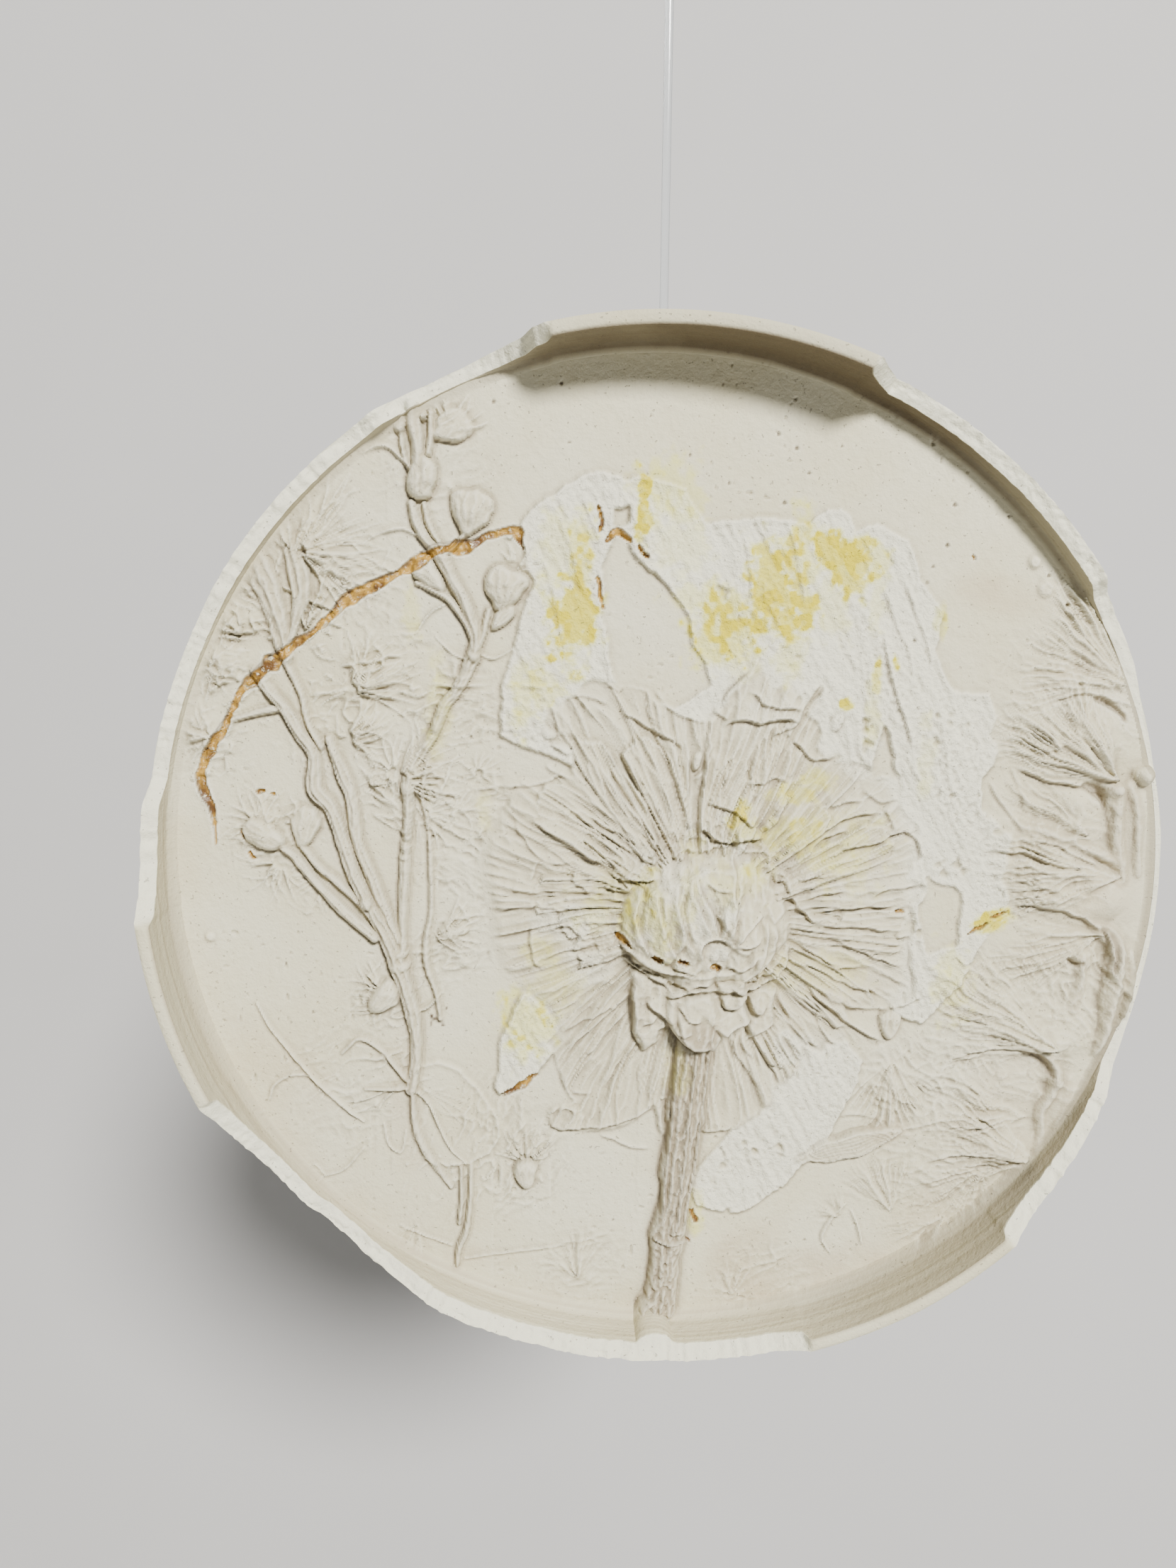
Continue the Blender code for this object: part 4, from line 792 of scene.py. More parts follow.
HEART_FOLD_HEIGHT = 2.1
HEART_FOLDS = (
    (1.5, 6, (-21, -26), (-17, -33), (-10, -38), (-3, -40.5), (4, -42), (10, -41)),
    (1.1, 3, (-18, -37), (-10, -42), (-3, -46), (2, -50.5)), (0.8, 3, (0, -38), (6, -40), (11, -43)),
    (1.3, 3, (-2, -52), (6, -50.5), (12, -48.8), (19, -47.5)),
    (0.9, 2, (2, -48), (10, -47.6), (18, -46.5)),
    (1.4, 6, (25, -47), (31, -45), (35, -41), (38, -34), (38.5, -27), (38, -19)),
    (1.8, 4, (22, -46), (29, -49.5), (37, -49), (43, -45), (47, -40), (49, -32)),
    (1.1, 4, (32, -44), (37, -42), (41, -36), (42.5, -28), (41, -21)),
    (0.8, 2, (24, -46), (33, -46.5), (39, -43.5)), (0.8, 3, (21, -38), (27, -40), (32, -38), (34, -33)),
    (1.0, 5, (24.5, -28), (25, -18), (24.7, -6), (24.6, 6)),
    (1.0, 4, (16.5, -26), (13, -18), (9, -9), (8, -1)),
    (0.8, 4, (18.5, -26), (16, -17), (11, -7), (10, 0)), (1.1, 4, (25, -29), (31, -23), (37, -17.5)),
    (0.7, 3, (24, -30), (30, -30), (36, -28)), (0.5, 2, (13, -4), (17, -7.5), (24, -8)),
    (0.7, 4, (5, -38), (0, -28), (-4, -18), (-5, -6)),
    (0.6, 4, (-6, -37), (-11, -27), (-13, -17), (-11, -8)),
    (0.8, 4, (10, -34), (6, -24), (3, -14), (3, -3)),
    (1.2, 3, (13, -36), (12, -31), (15, -27), (20, -27), (23, -30)),
    (1.0, 3, (17, -16), (20, -20), (19, -26)),
    (2.2, 6, (0, -63), (4, -68), (9, -72), (15, -72.5), (18, -74)),
    (0.8, 2, (2, -65), (6, -66), (10, -66)), (1.4, 3, (20, -50), (22, -56), (26, -56), (32, -52.5)),
    (2.4, 6, (22, -69), (27, -64.5), (34, -61.5)), (1.2, 3, (31, -52), (34, -58), (37, -59.5), (40, -56)),
    (1.4, 4, (-14, -45), (-13.5, -58), (-13, -68), (-9, -76)),
    (1.3, 3, (-9, -53), (-6, -57), (-3, -59), (2, -64)), (0.8, 2, (-10, -64), (-6, -63), (-4, -60)),
    (1.0, 3, (34, -70), (39, -67), (42.5, -65)), (0.8, 3, (3, -55), (8, -60), (14, -61)),
    (0.8, 2, (4, -59), (5, -66), (7, -71)), (0.7, 2, (18, -62), (17, -68), (18, -74)),
)
for number, sepal in enumerate(SEPALS):
    lay_facet(*sepal, seed=291 + 3 * number)
here = round_window(*HEART_CENTRE, 40)
off_x, off_z = across[here] - HEART_CENTRE[0], up[here] - HEART_CENTRE[1]
reach_z = np.where(off_z > 0, HEART_UPPER_REACH, HEART_LOWER_REACH)
dome_r = np.hypot(off_x / HEART_HALF_WIDTH, off_z / reach_z) + 0.04 * crumple(off_x, off_z, 12, 271)
dome = HEART_LIFT * (1 - np.clip(dome_r, 0, 1) ** 3.2)
on_dome = ease(4 * (1 - dome_r)) * ease((dome - height[here]) / 0.8 + 0.5)
at_least(height, here, dome)
folded = 1.6 * crumple(off_x * 1.6, off_z * 0.7, 9, 349) + 0.7 * creases(off_x, off_z * 0.35, 6, 347)
height[here] += on_dome * folded
at_least(plant, here, on_dome)
shade_and_dust[here] *= 1 - on_dome
for number, (rise, lean_x, lean_z, *outline) in enumerate(BRACTS):
    bract = inside(outline, 0.9, 330 + number)
    cover = soften(bract, POINT_SPACING)
    middle_x, middle_z = np.mean(outline, 0)
    tilt = lean_x * (across - middle_x) + lean_z * (up - middle_z)
    edge = np.clip(cover - soften(bract, 2), 0, 1)
    height += cover * (rise + tilt) + BRACT_EDGE_HEIGHT * edge
press_bud(*HEART_KNOB, seed=345)
for number, (step, *fold) in enumerate(HEART_FOLDS):
    overlap(HEART_FOLD_HEIGHT * step, *fold, seed=360 + number)
curds = round_window(20, 12, 20)
r = np.hypot((across[curds] - CURDS_CENTRE[0]) / CURDS_HALF_WIDTH,
             (up[curds] - CURDS_CENTRE[1]) / CURDS_HALF_LENGTH)
height[curds] += CURD_HEIGHT * ease(1.6 * (1 - r)) * (creases(across[curds], up[curds], 5, 341) - 0.3)
crumpled = ease((dome_r - 0.72) / 0.2) * ease((1.25 - dome_r) / 0.2) * ease((off_z - 6) / 14)
crease = creases(off_x, off_z * 0.7, 6, 343)
height[here] += crumpled * (CRUMPLE_HEIGHT * crease - 1.1)
# Painted shade in the troughs of the crumples.
shade_and_dust[here] += 0.35 * crumpled * (1 - crease)

# The flower's stem: a thick fibrous bar down to the rim, with a pitted lower end past the ring at
# which it was cut, and a torn flange where it runs up the inner wall.
FLOWER_STEM = (
    (12, -70, 7.6, 8.4), (11, -80, 8.0, 8.0), (10, -90, 7.9, 7.6), (9, -104, 7.7, 7.2),
    (7, -120, 7.3, 6.8), (5.5, -136, 6.6, 6.6), (4, -148, 6.9, 6.4), (2.5, -161, 6.8, 6.6),
    (1.5, -172, 6.6, 7.0), (0, -184, 6.8, 7.8), (-1, -193, 6.4, 9.0), (-1, -199, 5.0, 10.0),
)
STEM_FLANGE = ((4, -178, 3.0, 6.0), (-2, -183, 3.2, 7.0), (-7, -187, 2.4, 7.4), (-6, -191, 1.6, 8.0))
STEM_RIDGES = (
    ((5, -78, 1.0, 7.6), (3.5, -100, 1.0, 6.8), (1.5, -125, 0.9, 5.8), (-0.5, -150, 0.8, 5.2)),
    ((12, -76, 1.2, 9.4), (10, -100, 1.1, 8.4), (8, -125, 1.0, 7.8), (5.5, -152, 0.8, 7.2)),
    ((17, -78, 0.9, 7.0), (15, -100, 0.9, 6.4), (12.5, -125, 0.8, 5.8), (9, -150, 0.7, 5.2)),
)
STEM_RING = ((-3, -156, 0.9, 6.4), (3, -157.5, 1.0, 8.0), (9, -157, 0.9, 6.2))
STEM_LOWER_END = (-10, 16, -200, -154)
STEM_PIT_DEPTH = 1.6
press_stem(FLOWER_STEM, ribs=4.5, roughness=0.5, seed=351, bark=1.0, fibre=1.3, rib_height=0.03)
for number, fibre_bundle in enumerate(STEM_RIDGES):
    press_stem(fibre_bundle, ribs=1.0, roughness=0.5, seed=353 + number, fibre=0.9)
press_stem(STEM_FLANGE, ribs=1.0, roughness=0.5, seed=357)
press_stem(STEM_RING, ribs=1.0, roughness=0.2, seed=359)
here = window(*STEM_LOWER_END)
on_stem = np.clip(height[here] / 5, 0, 1) ** 2
pitted = np.clip(lumps(across[here], up[here], 1.9, 361) - 0.25, 0, 1)
height[here] -= STEM_PIT_DEPTH * on_stem * pitted
# Painted shade and dirt in the pits.
shade_and_dust[here] += on_stem * pitted

# The plants at the right: big seed heads pressed flat, soft mounds of fine fibres that fan out to the
# left from bent stalks. The clay draped over the stalks, so they show softly, and the heads' lower
# edges stand out enough to hang over hollows, which are darkened with painted shade.
RIGHT_STALKS = (
    ((173, 33, 3.6, 3.6), (176, 28, 4.2, 4.4), (177, 20, 3.6, 3.8), (178, 10, 3.2, 3.4),
     (180, 1, 3.4, 3.0), (181, -6, 3.0, 2.4)),
    ((182, 32, 2.4, 2.6), (186, 20, 2.2, 2.8), (187, 6, 2.0, 2.4), (188, -4, 1.6, 1.8)),
    ((172, -25, 2.6, 4.0), (178, -29, 3.2, 5.6), (181.5, -36, 3.8, 6.6), (181, -46, 4.0, 6.8),
     (180, -58, 3.8, 6.2), (179, -70, 3.0, 4.8), (177, -78, 2.0, 3.0)),
    ((187, -36, 1.8, 3.0), (189, -44, 2.0, 3.4), (188, -56, 2.0, 3.4), (185, -68, 1.6, 2.4)),
    ((150, -77, 2.4, 3.8), (156, -81, 3.0, 5.0), (160.5, -88, 3.4, 5.6), (159, -96, 3.0, 4.6),
     (155.5, -103, 2.6, 3.8), (156, -112, 2.2, 3.4), (155, -120, 2.2, 3.4)),
    ((166, -92, 1.4, 2.2), (165, -102, 1.8, 2.8), (162, -110, 1.4, 2.2)),
    ((139, 16, 2.2, 2.2), (150, 13, 3.2, 4.2), (160, 9.5, 2.6, 4.2), (170, 5, 2.4, 4.0),
     (178, 1, 2.0, 3.2)),
    ((168, -40, 2.2, 2.6), (168, -50, 1.8, 2.6), (166, -60, 1.4, 1.8)),
)
RIGHT_KNOBS = (
    (187, 36, 4.6, 4.2, 0, 6.4, 3), (176, 30, 3.2, 2.4, 0, 7.4, 2), (168, -39, 5.0, 4.0, 80, 3.4, 4),
    (182, -42, 2.4, 2.4, 0, 7.8, 3), (180, -59, 2.4, 2.2, 0, 7.2, 3), (161, -91, 2.6, 2.0, 0, 6.2, 2),
)
SEED_HEADS = (
    (178.5, 71, 104, 202, 58, 1.6, 1.1), (176, 34, 92, 186, 54, 3.8, 1.2),
    (166, 12, 120, 178, 40, 1.6, 0.8), (180, -4, 148, 216, 54, 4.0, 1.2),
    (175, -28, 160, 232, 46, 2.0, 1.0), (158, -75, 116, 206, 56, 3.2, 1.1),
    (155, -125, 122, 206, 56, 3.2, 1.1), (150, -106, 140, 210, 42, 1.6, 0.9),
    (132, -130, 190, 330, 34, 0.9, 0.9), (118, -150, 170, 330, 28, 0.8, 0.8),
    (93, -82, 195, 350, 36, 1.0, 1.0), (74, -150, 60, 200, 14, 0.8, 0.8),
    (96, -148, 60, 160, 30, 0.8, 0.8), (-34, -176, 20, 170, 24, 0.8, 0.8),
    (30, -184, 20, 160, 18, 0.6, 0.7), (-100, -150, 180, 300, 20, 0.7, 0.7),
)
RIGHT_MOUNDS = (
    (168, 50, 16, 13, 40, 2.6), (150, 56, 20, 12, -20, 1.6), (160, 25, 12, 8, -20, 2.6),
    (163, 15, 9, 8, 0, 1.6), (150, 8, 22, 6, -22, 2.2), (152, -6, 18, 8, -10, 1.6),
    (176, -14, 11, 10, 0, 3.2), (158, -16, 16, 6, -15, 1.6), (150, -34, 22, 10, 0, 1.0),
    (168, -66, 10, 14, 0, 2.0), (146, -70, 20, 8, -20, 2.0), (158, -74, 10, 7, 0, 2.2),
    (140, -92, 18, 10, 10, 1.2), (140, -118, 20, 8, -10, 2.2), (120, -106, 20, 8, 20, 1.0),
    (112, -130, 16, 8, 30, 1.0), (186, 22, 5, 14, 0, 1.6), (187, -50, 5, 20, 8, 1.6),
    (166, -100, 8, 14, -10, 2.0),
)
RIGHT_MOUND_HEIGHT = 1.5
HANGING_EDGE_HEIGHT = 0.6
HOLLOW_DEPTH = 1.4
DRAPED_FROM, DRAPED_SHARE = 118, 0.75
RIGHT_WRINKLES = (
    (158, 66, 50, 0.5, -20), (150, 4, 44, 0.6, -15), (140, -80, 54, 0.5, -20), (130, -130, 44, 0.5, -10),
    (172, -50, 34, 0.8, -50), (96, -90, 34, 0.6, -45), (-34, -170, 26, 0.5), (40, -178, 30, 0.4),
    (118, -50, 30, 0.4, -30), (104, -118, 40, 0.5, 10),
)
BENT_THREADS = (
    ((76, -144, 0.7, 0.9), (71, -150, 0.8, 1.1), (67, -159, 0.7, 0.9), (71, -166, 0.5, 0.6)),
    ((79, -147, 0.6, 0.8), (82, -154, 0.7, 0.9), (84, -162, 0.5, 0.6)),
)
DEEP_HOLLOWS = (
    ((160, 32.5, 0.6), (165, 31.5, 1.6), (169.5, 29, 2.2), (171.5, 25, 1.1), (172, 21, 0.4)),
    ((163, 66.5, 0.5), (169, 64.5, 1.2), (175, 61, 1.2), (179, 56, 0.6)),
    ((172, -25, 0.6), (176, -27, 1.8), (179.5, -31, 2.2), (180.5, -36, 1.3), (179, -46, 0.6)),
    ((148, -78, 0.6), (153, -80, 1.7), (157, -84, 1.7), (158.5, -90, 0.8)),
    ((140, -123, 0.5), (147, -125, 1.0), (152, -128, 1.2), (155, -130, 0.6)),
    ((161, -38, 0.5), (165, -41, 1.3), (169, -40, 0.7)),
)
HANGING_EDGES = (
    (1.8, 6, (146, 64), (158, 68), (167, 67), (178, 63)),
    (0.8, 5, (132, 46), (140, 44), (148, 46), (160, 52)),
    (2.8, 6, (134, 40), (146, 34), (156, 32.5), (163, 31), (170, 28.5), (175, 29)),
    (1.2, 6, (124, 34), (132, 23), (141, 12)), (0.8, 4, (133, 40), (138, 28), (141, 20)),
    (2.0, 5, (140, 11), (150, 9), (158, 5.5), (166, 2), (174, -2)),
    (2.4, 6, (136, -16), (148, -17), (158, -19), (168, -23), (175, -28)),
    (3.0, 5, (173, -25), (177, -31), (178.5, -38), (178, -48)),
    (0.9, 4, (174, 27), (175.5, 16), (177, 4)), (1.0, 3, (183, 30), (184.5, 18), (186, 4)),
    (2.4, 6, (114, -82), (130, -77), (146, -77), (154, -80), (159, -87)),
    (2.4, 6, (108, -126), (126, -122), (144, -124), (154, -128)),
    (1.0, 4, (106, -88), (118, -90), (130, -96)), (0.9, 4, (70, -105), (80, -105.5), (90, -107.5)),
    (0.8, 4, (86, -84), (92, -92), (96, -99), (106, -101)),
)
VEINED_LEAF = ((55, -124, 0.8, 0.9), (64, -121.5, 4.0, 1.3), (76, -118.5, 5.6, 1.6),
               (86, -115.5, 4.6, 1.6), (97, -112, 1.4, 1.0))


def lay_leaf(points, veins, tilt, softness, seed):
    """A small veined leaf laid over what is there: x, z, half width and height along it."""
    here, side, share, run, (width, lift) = along(points, 2)
    width = np.maximum(width * (1 + 0.15 * sway(run, 7, seed)), 0.2)
    u = side / width
    cover = ease((1 - np.abs(u)) * width / softness)
    wave = 1.2 * lumps(run, side, 9, seed + 1)
    vein = np.abs(np.sin(veins * math.pi / 2 * (u + 1) + wave))
    top = lift * (1 - 0.16 * u * u) + tilt * u + 0.42 * vein + 0.4 * crumple(run, side * 2, 9, seed + 2)
    height[here] = height[here] * (1 - cover) + np.maximum(top, 0.25 + 0.3 * height[here]) * cover
    # Painted shade in the troughs between the veins and in a dark line round the leaf's outline.
    shade_and_dust[here] = shade_and_dust[here] * (1 - 0.7 * cover) + 0.45 * cover * (1 - vein) ** 2
    shade_and_dust[here] += 0.5 * np.exp(-((np.abs(side) - width - 0.3) / 0.6) ** 2)
    at_least(plant, here, cover)
    white[here] *= 1 - 0.75 * cover


def seed_head(x, z, start, stop, reach, swell, depth, seed):
    """A soft mound of fine fibres that spread from the stalk and die out in the field."""
    here = round_window(x, z, reach * 1.2)
    off_x, off_z = across[here] - x, up[here] - z
    r = np.hypot(off_x, off_z)
    middle, half = (start + stop) / 2, (stop - start) / 2
    turn = (np.degrees(np.arctan2(off_z, off_x)) - middle + 180) % 360 - 180
    turn = turn + 8 * crumple(off_x, off_z, reach * 0.45, seed)
    share = turn / half
    t = r / (reach * (1 + 0.22 * sway(share * 3, 1, seed + 1)))
    fade = ease(2.0 * (1 - t)) * ease(1.5 * (1.05 - np.abs(share)))
    thick, middling, thin = (ridge(turn / width, r / 20, 1, seed + 2 + width) for width in (5, 3, 1))
    fibres = 0.5 * thick + 0.8 * middling * ease((r - 8) / 12) + 0.8 * thin * ease((r - 22) / 14)
    folds = 0.8 * lumps(turn / 13, r / 24, 1, seed + 8) + 0.4 * crumple(off_x, off_z, 7, seed + 7)
    height[here] += fade * (swell * ease(1.2 * (1 - t)) + 1.2 * depth * (fibres + folds - 0.6))
    at_least(plant, here, 0.8 * fade)


for *mound, lift in RIGHT_MOUNDS:
    raise_mound(*mound, RIGHT_MOUND_HEIGHT * lift)
for number, knob in enumerate(RIGHT_KNOBS):
    press_bud(*knob, seed=450 + number)
for number, stalk in enumerate(RIGHT_STALKS):
    press_stem(stalk, ribs=1.6, roughness=0.6, seed=430 + number)
draped = ease((across - DRAPED_FROM) / 14)
height = height * (1 - DRAPED_SHARE * draped) + soften(height, 1.6) * DRAPED_SHARE * draped
for number, head in enumerate(SEED_HEADS):
    seed_head(*head, 401 + 9 * number)
for patch in RIGHT_WRINKLES:
    wrinkle_ground(*patch)
lay_leaf(VEINED_LEAF, veins=7, tilt=0.2, softness=0.6, seed=421)
for number, (step, *edge) in enumerate(HANGING_EDGES):
    overlap(HANGING_EDGE_HEIGHT * step, *edge, seed=440 + number)
for number, pocket in enumerate(DEEP_HOLLOWS):
    here, side, share, run, (width,) = along(pocket, 6)
    sunk = np.exp(-(side / np.maximum(width, 0.3)) ** 2) * ease(6 * np.minimum(share, 1 - share))
    height[here] -= HOLLOW_DEPTH * width * sunk
    # Painted shade in the hollow under the head's edge.
    shade_and_dust[here] += 1.6 * sunk
for number, thread in enumerate(BENT_THREADS):
    press_hair(thread, 455 + number)

# The mended crack: a groove across the left plants, filled with amber resin, and the small bits of
# the same resin that were left in other holes.
CRACK = (
    (-175, 8, 0.5), (-176, 20, 0.8), (-179, 29, 1.5), (-180, 36, 2.0), (-177, 43, 2.2), (-170, 54, 1.4),
    (-164, 66, 1.3), (-155, 75, 2.2), (-149, 80, 2.4), (-143, 85, 1.5), (-137, 89, 0.9), (-132, 93, 1.2),
    (-121, 103, 1.9), (-111, 108, 1.6), (-102, 112, 1.4), (-96, 116, 2.0), (-89, 120, 2.2),
    (-77, 122, 1.8), (-69, 126, 1.2), (-61, 127.5, 1.8), (-58, 124, 1.8), (-57, 121, 0.8),
)
RESIN_BITS = (
    ((-29, 137, 0.6), (-28, 132, 0.9), (-28.5, 128, 0.5)),
    ((-26, 124, 0.6), (-22, 127.5, 0.9), (-17, 124, 0.6)), ((-14, 123, 0.5), (-10, 118, 0.7)),
    ((-29, 111, 0.5), (-28, 104, 0.7), (-27, 99, 0.4)),
    ((-66, -95, 0.8), (-60, -92, 1.3), (-51, -86, 0.7)), ((-159, 28, 0.9), (-156, 28.6, 0.5)),
    ((-154, 28, 0.5), (-152, 27.6, 0.9)), ((-165, 13, 0.5), (-164, 11, 0.6)),
    ((-163, 5, 0.7), (-161, 3, 0.6)), ((-21, -27, 0.8), (-17, -29, 1.3), (-15, -31, 0.6)),
    ((-7, -34, 0.8), (-3, -36, 1.2)), ((3, -35, 0.9), (7, -37, 1.0)), ((16, -38, 1.1), (20, -40, 0.8)),
    ((12, -146, 1.0), (15, -151, 1.4)), ((10, -158, 0.5), (12, -160, 0.5)),
    ((121, -28, 0.4), (125, -26, 0.8), (128, -24, 0.4)),
    ((130, -22, 0.4), (133, -21, 0.7), (136, -19, 0.4)), ((91, -18.5, 0.4), (94, -19, 0.5)),
    ((114, 120, 0.3), (115, 119, 0.3)),
)
LIFTED_EDGE_HEIGHT = 0.7
amber = np.zeros_like(height)
dark = np.zeros_like(height)
groove_edge = np.zeros_like(height)


def fill_crack(points, seed):
    """A ragged groove along a line of x, z and half width, filled nearly to the top with resin."""
    here, side, share, run, (width,) = along(points, 5)
    taper = ease(14 * np.minimum(share, 1 - share) + 0.3)
    width = width * (1 + 0.45 * sway(run, 3.5, seed)) * taper
    depth = np.abs(side + 0.5 * sway(run, 4, seed + 1)) / np.maximum(width, 0.25)
    filled = ease(3.2 * (1.25 - depth))
    sunk = 0.9 - 0.9 * lumps(run, side, 2.2, seed + 2) ** 2
    height[here] -= (0.25 * np.clip(height[here], 0, 4) + sunk) * filled
    at_least(amber, here, filled)
    at_least(groove_edge, here, np.exp(-((depth - 1.35) / 0.35) ** 2))


fill_crack(CRACK, 471)
here, side, share, run, (width,) = along(CRACK, 5)
# Painted shadow along the crack's upper edge.
upper_edge = np.exp(-((side - 1.1 * width) / 0.4) ** 2) * ease(0.6 + sway(run, 5, 476))
at_least(dark, here, 0.8 * upper_edge * ease(8 * np.minimum(share, 1 - share)))
lower_edge = np.exp(-((side + 1.5 * width) / 0.6) ** 2) * ease(1.5 * lumps(run, side, 3, 477))
height[here] += LIFTED_EDGE_HEIGHT * lower_edge
at_least(white, here, lower_edge)
for number, bit in enumerate(RESIN_BITS):
    fill_crack(bit, 480 + 3 * number)

# Pits, chips and specks: air bubbles against the clay, a shell print and small knocks.
PITS = (
    (45, 159, 0.9), (38, 164, 0.8), (41, 139, 1.0), (20, 146, 0.7), (5, 156, 0.7), (-43, 181, 0.9),
    (-68, 174, 0.8), (82, 171, 0.7), (106, 139, 1.0), (127, 135, 0.8), (104, 124, 1.0), (144, 113, 0.9),
    (152, 102, 1.1), (99, 116, 0.8), (97, 110, 0.7), (93, 88, 0.9), (-77, 50, 0.8), (-92, 11, 0.9),
    (50, 150, 0.8), (62, 160, 0.7), (-10, 170, 0.5), (-20, 60, 0.6), (120, 150, 0.6), (-40, 160, 0.6),
    (-110, -20, 0.5), (-140, -60, 0.7), (-150, -40, 0.6), (-20, -150, 0.6), (60, -160, 0.7),
)
SHELL_PRINTS = ((-91, -63, 3), (-88, -61, 3))
BUBBLE_DEPTH = 4
PIT_DEPTH = 0.7
RAISED_SPOTS = ((138, 118, 1.8, 1.0), (143, 108, 2.4, 0.9), (-179, -29, 1.5, 0.7), (-118, -15, 2.0, 2.2))
for x, z, radius in PITS:
    here = round_window(x, z, 4)
    spot = ease(1.5 - np.hypot(across[here] - x, up[here] - z) / (0.65 * radius))
    height[here] -= PIT_DEPTH * radius * spot
    # Painted shade and dirt in each pit.
    at_least(dark, here, 0.8 * spot)
for x, z, radius, lift in RAISED_SPOTS:
    here = round_window(x, z, 5)
    height[here] += lift * ease(1.6 - np.hypot(across[here] - x, up[here] - z) / radius)
for print_place in SHELL_PRINTS:
    here = round_window(*print_place)
    at_least(dark, here, ease(2 * lumps(across[here], up[here], 1.5, 491)))
bubbly = (lumps(across, up, 40, 495) > 0.1) & (plant < 0.3)
height -= BUBBLE_DEPTH * np.clip(lumps(across, up, 1.7, 493) - 0.82, 0, 1) * bubbly

# Stains: yellow glaze dabbed on the scraped skin, gold where it is thick, and the brown of old damp
# along the lower rim. A dab's row holds its x, z, half width, half length and strength; stains and
# smears also have a lean, before the strength.
YELLOW_DABS = (
    (-39, 93, 9, 17, 1.0), (-35, 119, 4.5, 14, 0.7), (-12, 136, 2.6, 12, 0.95), (-3, 143, 10, 10, 0.5),
    (38, 104, 9.5, 19, 0.95), (48, 114, 6, 17, 0.65), (51, 98, 4.5, 7, 1.0), (62, 122, 10, 6.5, 1.0),
    (68, 114, 7, 10, 0.9), (77, 117, 5, 6, 0.6), (18, 92, 12, 13, 0.75), (10, 103, 12, 5, 0.5),
    (3, 122, 10, 9, 0.3), (-52, 68, 7, 10, 0.5), (86, 80, 1.6, 2.4, 0.9), (79, 73, 1.8, 7, 0.8),
    (68, 63, 2.6, 2.6, 1.0), (103, 95, 2.4, 5, 0.6), (44, 82, 5, 8, 0.45), (-45, 120, 6, 14, 0.35),
    (60, 100, 8, 10, 0.35), (-56, -66, 9, 12, 0.65), (127, -25, 5, 3.5, 1.0), (133, -20.5, 5, 2.6, 0.9),
    (40, 14, 3, 12, 0.3), (30, 14, 6, 5, 0.6), (115, -48, 7, 16, 0.45), (71, 3, 12, 14, 0.35),
    (52, 12, 16, 10, 0.3), (30, -4, 12, 8, 0.3), (4, -84, 4, 8, 0.3), (-22, -12, 12, 10, 0.3),
    (-8, -12, 5, 10, 0.6), (-2, -24, 5, 10, 0.5), (-16, -20, 4, 7, 0.6), (6, -10, 4, 9, 0.35),
    (33, 0, 6, 4, 0.7), (47, 13, 12, 8, 0.6), (62, 5, 10, 8, 0.5), (48, 28, 8, 5, 0.6),
    (27, 20, 4, 5, 1.0), (58, 34, 6, 4, 0.5), (78, 102, 3, 12, 0.35), (78, 60, 3, 10, 0.4),
    (100, 40, 3, 12, 0.3), (-72, 20, 3, 6, 0.3), (-29, -18, 6, 8, 0.4), (-50, -36, 6, 5, 0.4),
    (8, 8, 4, 5, 0.35), (-99, 98, 3, 9, 0.35), (-90, 62, 4, 15, 0.35), (-57, 66, 5, 13, 0.55),
    (60, -44, 16, 8, 0.25), (14, -150, 3, 8, 0.4), (-45, -50, 10, 8, 0.3), (26, 82, 8, 10, 0.25),
)
BROWN_STAINS = (
    (128, 104, 26, 9, -14, 0.5), (60, -178, 46, 14, 14, 0.6), (34, -164, 22, 10, 40, 0.5),
    (150, -96, 26, 30, 40, 0.35), (172, 0, 20, 60, 0, 0.35), (-150, -88, 16, 36, 40, 0.3),
    (-104, -100, 10, 30, 0, 0.3), (120, -140, 34, 12, 35, 0.45), (-76, -166, 26, 6, -4, 0.35),
    (92, -112, 14, 8, 10, 0.5), (-168, -76, 10, 24, 25, 0.3), (160, 60, 24, 30, 0, 0.25),
    (160, 10, 30, 90, 0, 0.2), (150, -110, 50, 36, 30, 0.2),
)
CRISPNESS = 0.8
yellow = np.zeros_like(height)
sponge = ease(0.5 + 1.5 * lumps(across, up, 2.2, 507))
sponge *= ease(0.6 + 1.4 * lumps(scrape * 0.3, scrape_side, 3.0, 508))
dab_edge = 0.5 * crumple(across, up, 10, 501) + 0.9 * crumple(across, up, 3.5, 502)
for *dab, strength in YELLOW_DABS:
    here, r = oval(*dab)
    at_least(yellow, here, strength * ease(1.3 * (1.5 - r - dab_edge[here])) * (0.65 + 0.35 * sponge[here]))
brown = np.zeros_like(height)
stain_edge = 0.3 * crumple(across, up, 24, 503)
for *stain, strength in BROWN_STAINS:
    here, r = oval(*stain)
    at_least(brown, here, strength * ease(1.3 * (1.2 - r - stain_edge[here])))
